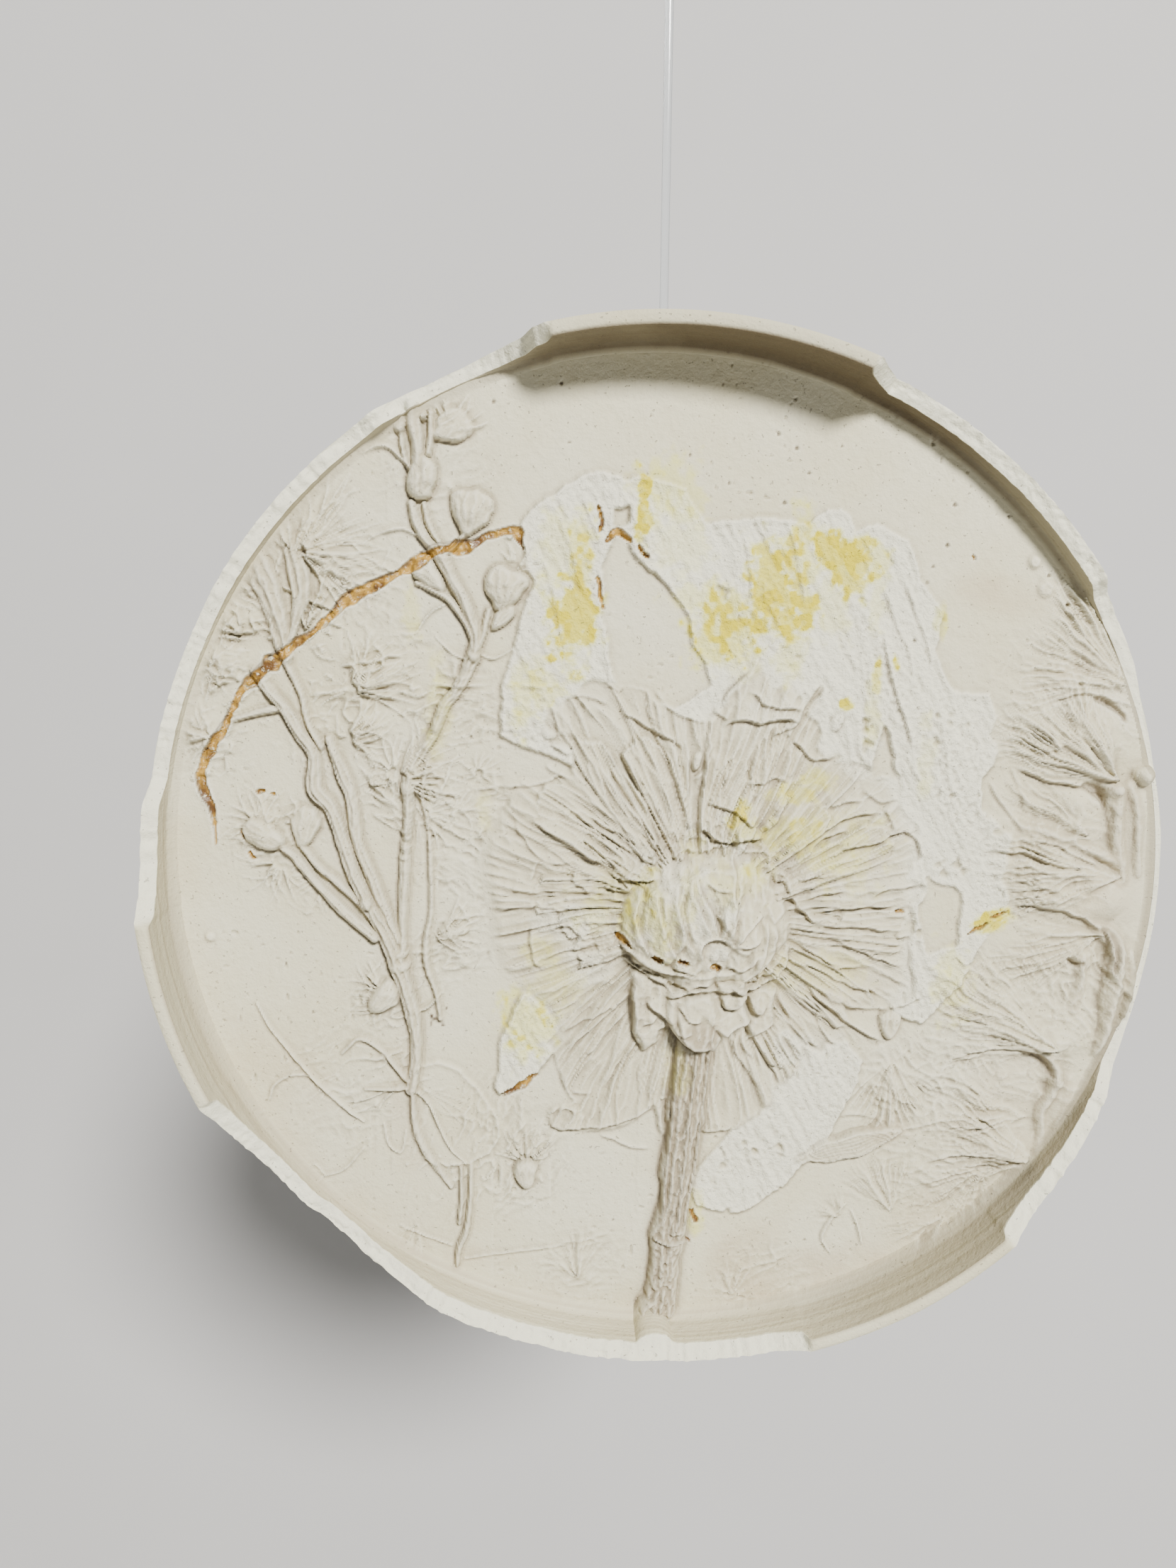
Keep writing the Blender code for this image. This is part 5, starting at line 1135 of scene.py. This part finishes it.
HEART_SMEARS = (
    (woody, 14, -12, 4.0, 12, -12, 0.28), (woody, 30, -14, 6, 14, -30, 0.12),
    (woody, -2, -30, 5, 8, 30, 0.25), (woody, 40, 20, 7, 12, 25, 0.45), (woody, 46, 2, 6, 5, 0, 0.35),
    (woody, -12, -56, 5, 14, 0, 0.3), (white, 4, -12, 22, 20, 0, 0.7),
    (white, 22.5, -15, 2.6, 10, -14, 1.0), (white, 0, -16, 2.6, 12, -25, 0.8),
    (white, -10, -12, 3, 9, -30, 0.9), (white, 19, -33, 5, 4, 0, 0.9), (white, 26, 8, 6, 6, 0, 0.9),
    (white, 10, 14, 6, 4, 30, 0.8), (white, 20, 20, 5, 3, 0, 0.8), (white, 32, 1, 7, 3.4, 20, 1.0),
    (white, -38, -24, 14, 10, 0, 0.8), (white, -30, -44, 12, 8, 30, 0.6), (white, 42, 60, 12, 8, 0, 0.5),
    (white, 74, 44, 8, 9, 0, 0.8), (white, 52, -76, 8, 9, -30, 0.9), (white, 100, -8, 6, 12, 0, 0.4),
)
smear_edge = 0.7 * crumple(across, up, 7, 504)
for layer, *smear, strength in HEART_SMEARS:
    here, r = oval(*smear)
    at_least(layer, here, strength * ease(2.5 * (1.05 - r - smear_edge[here])))
brown = np.maximum(brown, 0.07 * ease((up + 0.8 * across + 120) / 300))
radius_here = np.hypot(across, up)
near_wall = ease((radius_here - 172) / 22) * (0.3 + 0.7 * ease((-up - 0.3 * across + 20) / 120))
brown = np.maximum(brown, 0.45 * near_wall * (0.7 + 0.5 * crumple(across, up, 22, 505)))
white = np.clip(white + 0.5 * groove_edge, 0, 1) * (1 - amber)
height += np.clip(CRISPNESS * (height - soften(height, 1.9)), -0.8, 0.5)
# Painted shade and dust: darker in creases and at the foot of steps, most where the ground rises towards the
# light.
near_level, wide_level = soften(height, 1.3), soften(height, 5)
rise_z, rise_x = np.gradient(near_level, POINT_SPACING)
in_painted_shadow = 0.25 + 0.75 * ease(0.45 + 0.5 * rise_x + 0.85 * rise_z)
crease_shade_and_dust = in_painted_shadow * np.clip((near_level - height) / 0.35, 0, 1)
crease_shade_and_dust += 0.5 * np.clip((wide_level - height) / 1.6, 0, 1)
shade_and_dust = np.clip(0.5 * shade_and_dust + 0.75 * crease_shade_and_dust, 0, 1)
# Painted highlight and wear: lighter on ridges that stand above their surroundings.
ridge_highlight_and_wear = np.clip((height - near_level) / 0.35, 0, 1)
MASKS = {"white": white, "yellow": yellow, "amber": amber, "brown": brown, "shade_and_dust": shade_and_dust,
         "dark": dark, "plant": np.clip(plant, 0, 1), "woody": woody, "ridge_highlight_and_wear": ridge_highlight_and_wear}


def sample(values, x, z):
    """The values between the field's points."""
    u = np.clip((x - line[0]) / POINT_SPACING, 0, len(line) - 1.001)
    v = np.clip((z - line[0]) / POINT_SPACING, 0, len(line) - 1.001)
    i, j = v.astype(int), u.astype(int)
    s, t = v - i, u - j
    lower = values[i, j] * (1 - t) + values[i, j + 1] * t
    upper = values[i + 1, j] * (1 - t) + values[i + 1, j + 1] * t
    return lower * (1 - s) + upper * s


def hold_masks(piece, x, z, extra):
    """Store on each point how white, yellow, amber and so on the plaster is there."""
    for name, values in MASKS.items():
        layer = piece.data.attributes.new(name, "FLOAT", "POINT")
        layer.data.foreach_set("value", (sample(values, x, z) * extra).astype(np.float32))


# The plaster's own finish: matt and creamy, whiter where it is new or freshly broken, with a fine
# grain and pinholes. Its creases and hollows are darkened with dust and painted shade, its ridges
# lightened with wear and a painted highlight, and its inner wall darkened with grime and painted
# shade, most at the top. Resin, glaze and damp stains follow the points' masks.
class Value:
    """A number that changes over a surface; sums written on it become the shader's Math nodes."""

    def __init__(self, finish, socket):
        self.finish = finish
        self.socket = socket

    def maths(self, operation, first, second):
        node = self.finish.add("ShaderNodeMath", {"operation": operation}, {0: first, 1: second})
        return Value(self.finish, node.outputs[0])

    def __add__(self, other):
        return self.maths("ADD", self, other)

    def __sub__(self, other):
        return self.maths("SUBTRACT", self, other)

    def __rsub__(self, other):
        return self.maths("SUBTRACT", other, self)

    def __mul__(self, other):
        return self.maths("MULTIPLY", self, other)

    def over(self, other):
        return self.maths("MAXIMUM", self, other)

    def under(self, other):
        return self.maths("MINIMUM", self, other)

    __radd__ = __add__
    __rmul__ = __mul__


class Finish:
    """A material in the making."""

    def __init__(self, name, constants):
        self.material = bpy.data.materials.new(name)
        self.material.use_nodes = True
        self.nodes = self.material.node_tree.nodes
        self.shader = self.nodes["Principled BSDF"]
        for socket, value in constants.items():
            self.shader.inputs[socket].default_value = value

    def plug(self, socket, value):
        if isinstance(value, Value):
            value = value.socket
        if isinstance(value, bpy.types.NodeSocket):
            self.material.node_tree.links.new(value, socket)
        elif isinstance(value, tuple) and len(value) == 3 and socket.type == "RGBA":
            socket.default_value = (*value, 1.0)
        else:
            socket.default_value = value

    def add(self, kind, settings=None, inputs=None):
        node = self.nodes.new(kind)
        for name, value in (settings or {}).items():
            if name == "stops":
                for stop, (place, level) in zip(node.color_ramp.elements, value):
                    stop.position = place
                    stop.color = (level, level, level, 1.0)
            else:
                setattr(node, name, value)
        for name, value in (inputs or {}).items():
            self.plug(node.inputs[name], value)
        return node

    def mask(self, name):
        node = self.add("ShaderNodeAttribute", {"attribute_name": name})
        return Value(self, node.outputs["Fac"])

    def place(self):
        return self.add("ShaderNodeTexCoord").outputs["Object"]

    def noise(self, scale, detail=3.0, roughness=0.6):
        node = self.add("ShaderNodeTexNoise", None, {"Vector": self.place(), "Scale": scale,
                                                     "Detail": detail, "Roughness": roughness})
        return Value(self, node.outputs["Fac"])

    def band(self, value, low, high):
        """0 below low, 1 above high and a slope between."""
        node = self.add("ShaderNodeMapRange", None, {"Value": value, "From Min": low, "From Max": high})
        return Value(self, node.outputs["Result"])

    def blend(self, amount, first, second):
        """The first colour where amount is 0 and the second where it is 1."""
        node = self.add("ShaderNodeMix", {"data_type": "RGBA"}, {0: amount, 6: first, 7: second})
        return node.outputs[2]


CREAM = (0.645, 0.606, 0.415)
COOL_CREAM = (0.690, 0.665, 0.495)
PLANT_CREAM = (0.590, 0.548, 0.380)
STEM_BROWN = (0.350, 0.300, 0.200)
# Lighter cream for ridges: painted highlight and wear.
RIDGE_HIGHLIGHT_AND_WEAR_CREAM = (0.780, 0.755, 0.605)
NEW_WHITE = (0.780, 0.772, 0.615)
# Colour of dust and painted shade in creases and hollows.
DUST_AND_SHADE = (0.250, 0.205, 0.140)
DAMP_BROWN = (0.430, 0.320, 0.190)
WALL_BEIGE = (0.480, 0.420, 0.290)
# Colour of grime and painted shade on the inner wall.
SHADE_AND_GRIME = (0.085, 0.060, 0.028)
GLAZE_YELLOW = (0.620, 0.520, 0.006)
PALE_YELLOW = (0.720, 0.712, 0.080)
AMBER = (0.450, 0.265, 0.045)
DEEP_AMBER = (0.120, 0.055, 0.012)
# Colour of specks, and of painted shade and dirt in pits, pinholes and along the crack.
SPECK_AND_SHADE = (0.120, 0.090, 0.060)

plaster = Finish("cast_plaster", {"Roughness": 0.85})
mottle = plaster.noise(18.0, 4.0)
grain = plaster.noise(900.0, 2.0)
speckle = plaster.noise(420.0, 3.0, 0.7)
colour = plaster.blend(plaster.band(mottle, 0.35, 0.65), CREAM, COOL_CREAM)
colour = plaster.blend(plaster.mask("plant") * 0.6, colour, PLANT_CREAM)
colour = plaster.blend(plaster.mask("woody") * 0.9, colour, STEM_BROWN)
damp = plaster.mask("brown") * plaster.band(plaster.noise(45.0, 4.0), 0.2, 0.8)
colour = plaster.blend(damp.under(1.0), colour, DAMP_BROWN)
squeezed = plaster.add("ShaderNodeMapping", None, {"Vector": plaster.place(), "Scale": (4.0, 700.0, 4.0)})
lathe_marks = plaster.add("ShaderNodeTexNoise", None, {
    "Vector": squeezed.outputs["Vector"], "Scale": 1.0, "Detail": 3.0})
turned_lines = plaster.band(Value(plaster, lathe_marks.outputs["Fac"]), 0.35, 0.65)
colour = plaster.blend(plaster.mask("wall") * (0.08 + 0.55 * turned_lines), colour, WALL_BEIGE)
# Painted shade and grime on the inner wall, darkest at the top.
shade_and_grime_amount = (plaster.mask("shade_and_grime") * (0.75 + 0.7 * mottle)).under(1.0)
colour = plaster.blend(shade_and_grime_amount * 0.95, colour, SHADE_AND_GRIME)
new_plaster = (plaster.mask("white") * 0.9).over(plaster.mask("broken") * 0.95)
colour = plaster.blend(new_plaster, colour, NEW_WHITE)
glaze = plaster.mask("yellow")
dabbed = plaster.band(glaze * 0.9 + speckle * 0.9, 0.70, 0.94)
colour = plaster.blend((glaze * 1.5).under(1.0) * 0.75, colour, PALE_YELLOW)
gold = dabbed * plaster.band(glaze, 0.42, 0.75) * (0.75 + 0.45 * mottle)
colour = plaster.blend(gold, colour, GLAZE_YELLOW)
# Painted highlight and wear: lighter on ridges.
colour = plaster.blend(plaster.mask("ridge_highlight_and_wear") * (0.5 - 0.45 * glaze), colour, RIDGE_HIGHLIGHT_AND_WEAR_CREAM)
# Dust and painted shade in creases and hollows.
painted_shade_and_dust = plaster.mask("shade_and_dust") * (0.50 + 0.55 * speckle)
colour = plaster.blend(painted_shade_and_dust, colour, DUST_AND_SHADE)
resin = plaster.mask("amber")
resin_tone = plaster.blend(plaster.band(plaster.noise(170.0, 4.0), 0.42, 0.62), AMBER, DEEP_AMBER)
crumbs = plaster.band(plaster.noise(330.0, 3.0), 0.60, 0.66)
colour = plaster.blend(resin * (1 - crumbs * 0.9), colour, resin_tone)
# Pinholes and the dark mask: painted shade and dirt in pits, pinholes and along the crack, with real specks
# and shell prints.
pinholes = plaster.band(plaster.noise(700.0, 1.0, 0.5), 0.73, 0.76)
colour = plaster.blend(plaster.mask("dark").over(pinholes * 0.35), colour, SPECK_AND_SHADE)
plaster.plug(plaster.shader.inputs["Base Color"], colour)
plaster.plug(plaster.shader.inputs["Roughness"], 0.86 - resin * 0.45)
bump = plaster.add("ShaderNodeBump", None, {
    "Strength": 0.8, "Distance": 0.0008,
    "Height": (grain * 0.4 + plaster.noise(320.0, 4.0) * 0.9) * (1 + plaster.mask("white")) - pinholes * 0.6})
plaster.plug(plaster.shader.inputs["Normal"], bump.outputs["Normal"])


def lie_flat(piece, x, z, out):
    """Put each point of a piece at x and z, this far out of the field, in the object's own frame."""
    places = np.stack([dish_centre.x + x / 1000, dish_centre.y - out / 1000, dish_centre.z + z / 1000], 1)
    piece.data.vertices.foreach_set("co", places.astype(np.float32).ravel())
    piece.data.update()


def flat_places(piece):
    """The places of a piece's points, a row for each."""
    places = np.zeros(len(piece.data.vertices) * 3)
    piece.data.vertices.foreach_get("co", places)
    return places.reshape(-1, 3)


def finish_piece(piece, name, finish, slot, *stands_for):
    """Name a piece, give it its finish and fix it to the cast."""
    piece.name = name
    piece.data.name = name
    piece.data.materials.clear()
    piece.data.materials.append(finish.material)
    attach(piece, "root")
    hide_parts(*stands_for)


# The field is modelled as four quarters of one surface, which meet edge to edge.
FIELD_EDGE = 191.0
slope_z, slope_x = np.gradient(height, POINT_SPACING)
quarter_count = math.ceil(FIELD_EDGE / POINT_SPACING)
quarter_size = quarter_count * POINT_SPACING
for name, side_x, side_z in (("field_upper_right", 0, 0), ("field_upper_left", -1, 0),
                             ("field_lower_left", -1, -1), ("field_lower_right", 0, -1)):
    bpy.ops.object.select_all(action="DESELECT")
    bpy.ops.mesh.primitive_grid_add(x_subdivisions=quarter_count, y_subdivisions=quarter_count,
                                    size=quarter_size, location=(0, 0, 0))
    quarter = bpy.context.object
    flat = flat_places(quarter)
    x = flat[:, 0] + quarter_size * (side_x + 0.5)
    z = flat[:, 1] + quarter_size * (side_z + 0.5)
    bpy.ops.object.mode_set(mode="EDIT")
    bpy.ops.mesh.select_all(action="DESELECT")
    bpy.ops.object.mode_set(mode="OBJECT")
    outside = np.hypot(x, z) > FIELD_EDGE
    quarter.data.vertices.foreach_set("select", outside)
    bpy.ops.object.mode_set(mode="EDIT")
    bpy.ops.mesh.delete(type="VERT")
    bpy.ops.object.mode_set(mode="OBJECT")
    x, z = x[~outside], z[~outside]
    lie_flat(quarter, x, z, sample(height, x, z))
    quarter.data.shade_smooth()
    normals = np.stack([-sample(slope_x, x, z), -np.ones_like(x), -sample(slope_z, x, z)], 1)
    normals /= np.linalg.norm(normals, axis=1, keepdims=True)
    quarter.data.normals_split_custom_set_from_vertices(normals)
    hold_masks(quarter, x, z, 1.0)
    finish_piece(quarter, name, plaster, "plaster", "plaster_relief")

# The plate's edge and the raised rim, cast in one with the field. The rim is 28 mm high where it is
# whole; elsewhere it was broken off and shows a rough white break. The list gives the height that
# is left by direction, counted from the right and turning upwards, and what the edge has lost.
RIM_LEFT = (
    (0, 0.0, 3.5), (4, 0.0, 3.2), (12, 0.0, 3.8), (20, 0.0, 2.6), (24, 0.3, 0.6), (30, 1.2, 0.0),
    (33, 5.0, 0.0), (35, 11.5, 0.0), (42, 12.5, 0.0), (51, 13.0, 0.0), (60, 12.5, 0.0), (67, 13.2, 0.0),
    (68.6, 20.5, 0.0), (69.8, 28.0, 0.0), (104.2, 28.0, 0.0), (105.4, 25.0, 0.0), (106.6, 12.0, 0.0),
    (109.5, 4.5, 0.0), (113, 1.0, 0.8), (117, 1.4, 1.0), (121, 3.0, 0.0), (123.5, 8.0, 0.0),
    (126, 4.2, 0.0), (134, 4.5, 0.0), (145, 6.0, 0.0), (157, 4.5, 0.0), (170, 5.5, 0.0),
    (172.5, 14.5, 0.0), (179, 15.0, 0.0), (182, 19.0, 0.0), (184.6, 27.0, 0.0), (206.5, 26.5, 0.0),
    (209, 20.0, 0.0), (212, 15.0, 0.0), (215, 10.5, 0.0), (218, 7.5, 0.0), (224, 6.5, 0.0),
    (227, 4.6, 0.0), (230, 5.5, 0.0), (233, 9.5, 0.0), (236.5, 12.0, 0.0), (240, 16.5, 0.0),
    (243, 20.0, 0.0), (249, 20.5, 0.0), (263, 21.5, 0.0), (274, 22.0, 0.0), (283, 22.5, 0.0),
    (286.6, 27.8, 0.0), (300, 28.0, 0.0), (312.6, 26.5, 0.0), (316, 20.0, 0.0), (319, 17.0, 0.0),
    (325, 13.0, 0.0), (332, 7.0, 0.0), (335.5, 0.6, 0.3), (340, 0.0, 2.0), (347, 0.0, 3.2),
    (355, 0.0, 3.4),
)
WHOLE_RIM = ((69.8, 104.4), (184.4, 206.8), (286.4, 313.2))
RIM_LOBES = ((2, 2.3, 135), (3, 1.2, 98))
LIP_INNER_RADIUS = 195.0
LEAST_LIP = 1.5
BACK_CHAMFER = 1.5
WALL_FILLET = 3.2
BAND_INNER_RADIUS = 187.0
RIM_POINTS = 1500
OUTER_ROWS, LIP_ROWS, WALL_ROWS, BAND_ROWS = 8, 9, 23, 14
LIP_ROUNDING = 0.7
BREAK_SLOPE = 0.16
COARSE_JAG, FINE_JAG = 1.3, 0.45
LATHE_RIPPLE = 0.28
WALL_LEAN = 0.7
NEXT_ROW = 0.06
STEM_FOOT = (268.9, 2.1)
STEM_FOOT_DEPTH = 6.5
UNDER_QUARTERS = 0.08
# How dark the inner wall is painted by direction: painted shade with grime, darkest at the top where the wall
# faces down.
WALL_SHADE_AND_GRIME = (
    (20, 0.35), (45, 0.6), (69, 1.0), (90, 1.0), (105, 0.8), (112, 0.2), (150, 0.1), (172, 0.15),
    (188, 0.25), (206, 0.25), (225, 0.1), (250, 0.0), (262, 0.0), (280, 0.1), (295, 0.35), (305, 0.4),
    (318, 0.5), (338, 0.5), (350, 0.35),
)

turn = np.arange(RIM_POINTS) * 360 / RIM_POINTS
rim_turns, rim_heights, rim_losses = np.array(RIM_LEFT).T
left = np.interp(turn, rim_turns, rim_heights, period=360)
lost = np.interp(turn, rim_turns, rim_losses, period=360)
runout = sum(size * np.cos(np.radians(lobes * (turn - way))) for lobes, size, way in RIM_LOBES)
whole = np.max([ease((turn - start) / 0.8) * ease((stop - turn) / 0.8) for start, stop in WHOLE_RIM], 0)
arc = np.radians(turn) * DISH_RADIUS
bent = 1 - whole
bumps = 1.1 * crumple(arc, 0, 9, 601) + 0.5 * sway(arc, 1.6, 603)
left = left + bent * np.clip(left / 4, 0, 1) * bumps
left = np.maximum(left, 0.0)
column = (DISH_RADIUS - lost)[:, None]
rows = []
for share in np.linspace(0, 1, OUTER_ROWS):
    radius = column - BACK_CHAMFER * max(0.0, 1 - 6 * share)
    out = -PLATE_THICKNESS + share * (left[:, None] + PLATE_THICKNESS)
    rows.append(np.hstack([radius, out]))
lip_inner = np.minimum(LIP_INNER_RADIUS - 0.5 * bent, DISH_RADIUS - lost - LEAST_LIP)[:, None]
standing = left[:, None]
for share in np.linspace(NEXT_ROW, 1, LIP_ROWS):
    radius = column + share * (lip_inner - column)
    round_lip = LIP_ROUNDING * (1 - np.abs(2 * share - 1) ** 3) * whole[:, None]
    slope = -BREAK_SLOPE * share * standing * bent[:, None]
    jag = crumple(arc[:, None], 9 * share, 6, 605) * COARSE_JAG
    jag += lumps(arc[:, None], 9 * share, 1.4, 607) * FINE_JAG
    jag = jag * math.sin(math.pi * min(share + 0.12, 1)) * np.clip(standing / 3 + 0.3, 0, 1)
    rows.append(np.hstack([radius, standing + round_lip + slope + bent[:, None] * jag]))
lip_level = rows[-1][:, 1]
for share in np.linspace(NEXT_ROW, 1, WALL_ROWS):
    foot = ease((share - 0.75) / 0.25) * WALL_FILLET
    out = lip_level * (1 - share)
    ripple = LATHE_RIPPLE * lumps(0, out / 1.7, 1, 609)
    ripple *= (1 - foot / WALL_FILLET) * min(1, 8 * (share - NEXT_ROW))
    rows.append(np.stack([lip_inner[:, 0] - WALL_LEAN * share - foot * share + ripple, out], 1))
wall_foot = rows[-1][:, 0]
for share in np.linspace(1 / BAND_ROWS, 1, BAND_ROWS):
    radius = wall_foot + share * (BAND_INNER_RADIUS - wall_foot)
    rows.append(np.stack([radius, 0 * arc], 1))
radius = np.stack([row[:, 0] for row in rows], 1) + runout[:, None]
out = np.stack([row[:, 1] for row in rows], 1)
swing = np.radians(turn)[:, None]
near_stem = np.sqrt(np.clip(1 - ((turn - STEM_FOOT[0]) / STEM_FOOT[1]) ** 2, 0, 1))[:, None]
wall_first = OUTER_ROWS + LIP_ROWS - 2
wall_stop = OUTER_ROWS + LIP_ROWS + WALL_ROWS
wall = slice(wall_first, wall_stop)
radius[:, wall] -= STEM_FOOT_DEPTH * near_stem * np.linspace(0.55, 1, wall_stop - wall_first)
x, z = radius * np.cos(swing), radius * np.sin(swing)
relief = sample(height, x, z)
on_field = np.zeros(radius.shape[1])
on_field[wall_stop:] = 1.0
on_field[wall_stop - 5:wall_stop] = np.linspace(0.15, 0.95, 5)
low_wall = ease(1 - left / 6)[:, None] * (np.arange(radius.shape[1]) >= OUTER_ROWS)
out = out + relief * np.maximum(on_field, low_wall * ease((relief - 0.5) / 2))
out -= UNDER_QUARTERS * ease(FIELD_EDGE - 0.6 - np.hypot(x, z))

bpy.ops.object.select_all(action="DESELECT")
bpy.ops.mesh.primitive_grid_add(x_subdivisions=radius.shape[1] - 1, y_subdivisions=RIM_POINTS,
                                size=2, location=(0, 0, 0))
rim = bpy.context.object
flat = flat_places(rim)
row = np.rint((flat[:, 0] + 1) / 2 * (radius.shape[1] - 1)).astype(int)
station = np.rint((flat[:, 1] + 1) / 2 * RIM_POINTS).astype(int) % RIM_POINTS
rim_x, rim_z = x[station, row], z[station, row]
lie_flat(rim, rim_x, rim_z, out[station, row])
hold_masks(rim, rim_x, rim_z, on_field[row])
is_lip = ((row >= OUTER_ROWS - 1) & (row < wall_first + 2)).astype(float)
is_wall = np.clip((row - wall_first + 1) / 2, 0, 1) * np.clip((wall_stop - row) / 4, 0, 1)
wall_shade_and_grime = np.interp(turn, *zip(*WALL_SHADE_AND_GRIME), period=360)[station]
broken = is_lip * bent[station]
# Painted shade and grime on the inner wall, and a little on the whole lip.
shade_and_grime = np.maximum(is_wall, 0.2 * is_lip * (1 - bent[station])) * wall_shade_and_grime
for name, values in (("broken", broken), ("wall", is_wall * (1 - broken)), ("shade_and_grime", shade_and_grime)):
    layer = rim.data.attributes.new(name, "FLOAT", "POINT")
    layer.data.foreach_set("value", values.astype(np.float32))
bpy.ops.object.mode_set(mode="EDIT")
bpy.ops.mesh.select_all(action="SELECT")
bpy.ops.mesh.remove_doubles(threshold=0.00001)
bpy.ops.mesh.select_all(action="DESELECT")
bpy.ops.object.mode_set(mode="OBJECT")
back_level = dish_centre.y + (PLATE_THICKNESS - 0.01) / 1000
rim.data.vertices.foreach_set("select", flat_places(rim)[:, 1] > back_level)
bpy.ops.object.mode_set(mode="EDIT")
bpy.ops.mesh.select_mode(type="VERT")
bpy.ops.mesh.edge_face_add()
bpy.ops.mesh.select_all(action="SELECT")
bpy.ops.mesh.normals_make_consistent(inside=False)
bpy.ops.object.mode_set(mode="OBJECT")
rim.data.shade_smooth()
rim.data.set_sharp_from_angle(angle=math.radians(50))
finish_piece(rim, "plate_and_rim", plaster, "plaster", "plaster_relief")

# The hanging rod: a thin clear acrylic rod, polished, slightly blue along its length, glued into
# the top of the plate.
ROD_TINT = (0.93, 0.96, 0.98, 1.0)
clear_rod = Finish("clear_acrylic_rod", {"Base Color": ROD_TINT, "Transmission Weight": 0.9, "IOR": 1.49})
scratches = clear_rod.noise(300.0, 2.0)
clear_rod.plug(clear_rod.shader.inputs["Roughness"], 0.06 + scratches * 0.10)
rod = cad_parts["hanging_rod"]
rod.data.materials.clear()
rod.data.materials.append(clear_rod.material)

# A plain pale floor that sweeps up behind the relief, well clear of it.
PALE_GREY = (0.56, 0.56, 0.555)
PALER_GREY = (0.58, 0.58, 0.575)
FLOOR_DROP = 0.75
FLOOR_WIDTH = 6.0
SWEEP_BACK = 0.9
SWEEP_RADIUS = 0.6
SWEEP_STRETCH = 0.94
bpy.ops.object.select_all(action="DESELECT")
bpy.ops.mesh.primitive_grid_add(x_subdivisions=1, y_subdivisions=40, size=FLOOR_WIDTH, location=(0, 0, 0))
floor = bpy.context.object
places = flat_places(floor)
run = places[:, 1] + SWEEP_RADIUS
swept = np.clip(run / SWEEP_STRETCH, 0, math.pi / 2)
floor_y = SWEEP_BACK - SWEEP_RADIUS + np.where(run < 0, run, SWEEP_RADIUS * np.sin(swept))
floor_z = SWEEP_RADIUS * (1 - np.cos(swept)) + np.maximum(run - SWEEP_STRETCH * math.pi / 2, 0)
floor_z += cast_low.z - FLOOR_DROP
places = np.stack([places[:, 0], floor_y, floor_z], 1)
floor.data.vertices.foreach_set("co", places.astype(np.float32).ravel())
floor.data.update()
floor.data.shade_smooth()
floor.name = "floor"
backdrop = Finish("pale_backdrop", {"Roughness": 0.95})
tone = backdrop.blend(backdrop.band(backdrop.noise(3.0), 0.3, 0.7), PALE_GREY, PALER_GREY)
backdrop.plug(backdrop.shader.inputs["Base Color"], tone)
floor.data.materials.append(backdrop.material)

# Soft light from above and a little to the right, and a pale room round it.
LIGHT_PLACE = Vector((1.05, -3.6, 2.35))
LIGHT_SIZE = 1.0
LIGHT_POWER = 492.0
LIGHT_COLOUR = (1.0, 0.97, 0.93)
ROOM_STRENGTH = 0.09
lamp_data = bpy.data.lights.new("soft_lamp", "AREA")
lamp_data.shape = "DISK"
lamp_data.size = LIGHT_SIZE
lamp_data.energy = LIGHT_POWER
lamp_data.color = LIGHT_COLOUR
lamp = bpy.data.objects.new("soft_lamp", lamp_data)
bpy.context.scene.collection.objects.link(lamp)
lamp.location = dish_centre + LIGHT_PLACE
lamp.rotation_euler = (-LIGHT_PLACE).to_track_quat("-Z", "Y").to_euler()
world = bpy.data.worlds.new("pale_room")
world.use_nodes = True
room = world.node_tree.nodes["Background"]
room.inputs["Color"].default_value = (1.0, 1.0, 1.0, 1.0)
room.inputs["Strength"].default_value = ROOM_STRENGTH
bpy.context.scene.world = world

# The camera stands close in front, a little above and to the left, and looks slightly down.
FOCAL_LENGTH = 27.05
CAMERA_PLACE = Vector((-0.0503, -0.4507, 0.1031))
CAMERA_RIGHT = Vector((0.99919, -0.03927, 0.00909))
CAMERA_FORWARD = Vector((0.04021, 0.98693, -0.15603))
camera_data = bpy.data.cameras.new("photo_view")
camera_data.sensor_fit = "VERTICAL"
camera_data.sensor_height = 36.0
camera_data.lens = FOCAL_LENGTH
camera = bpy.data.objects.new("photo_view", camera_data)
bpy.context.scene.collection.objects.link(camera)
camera_up = CAMERA_RIGHT.cross(CAMERA_FORWARD)
facing = Matrix((CAMERA_RIGHT, camera_up, -CAMERA_FORWARD)).transposed()
camera.matrix_world = Matrix.Translation(dish_centre + CAMERA_PLACE) @ facing.to_4x4()
bpy.context.scene.camera = camera
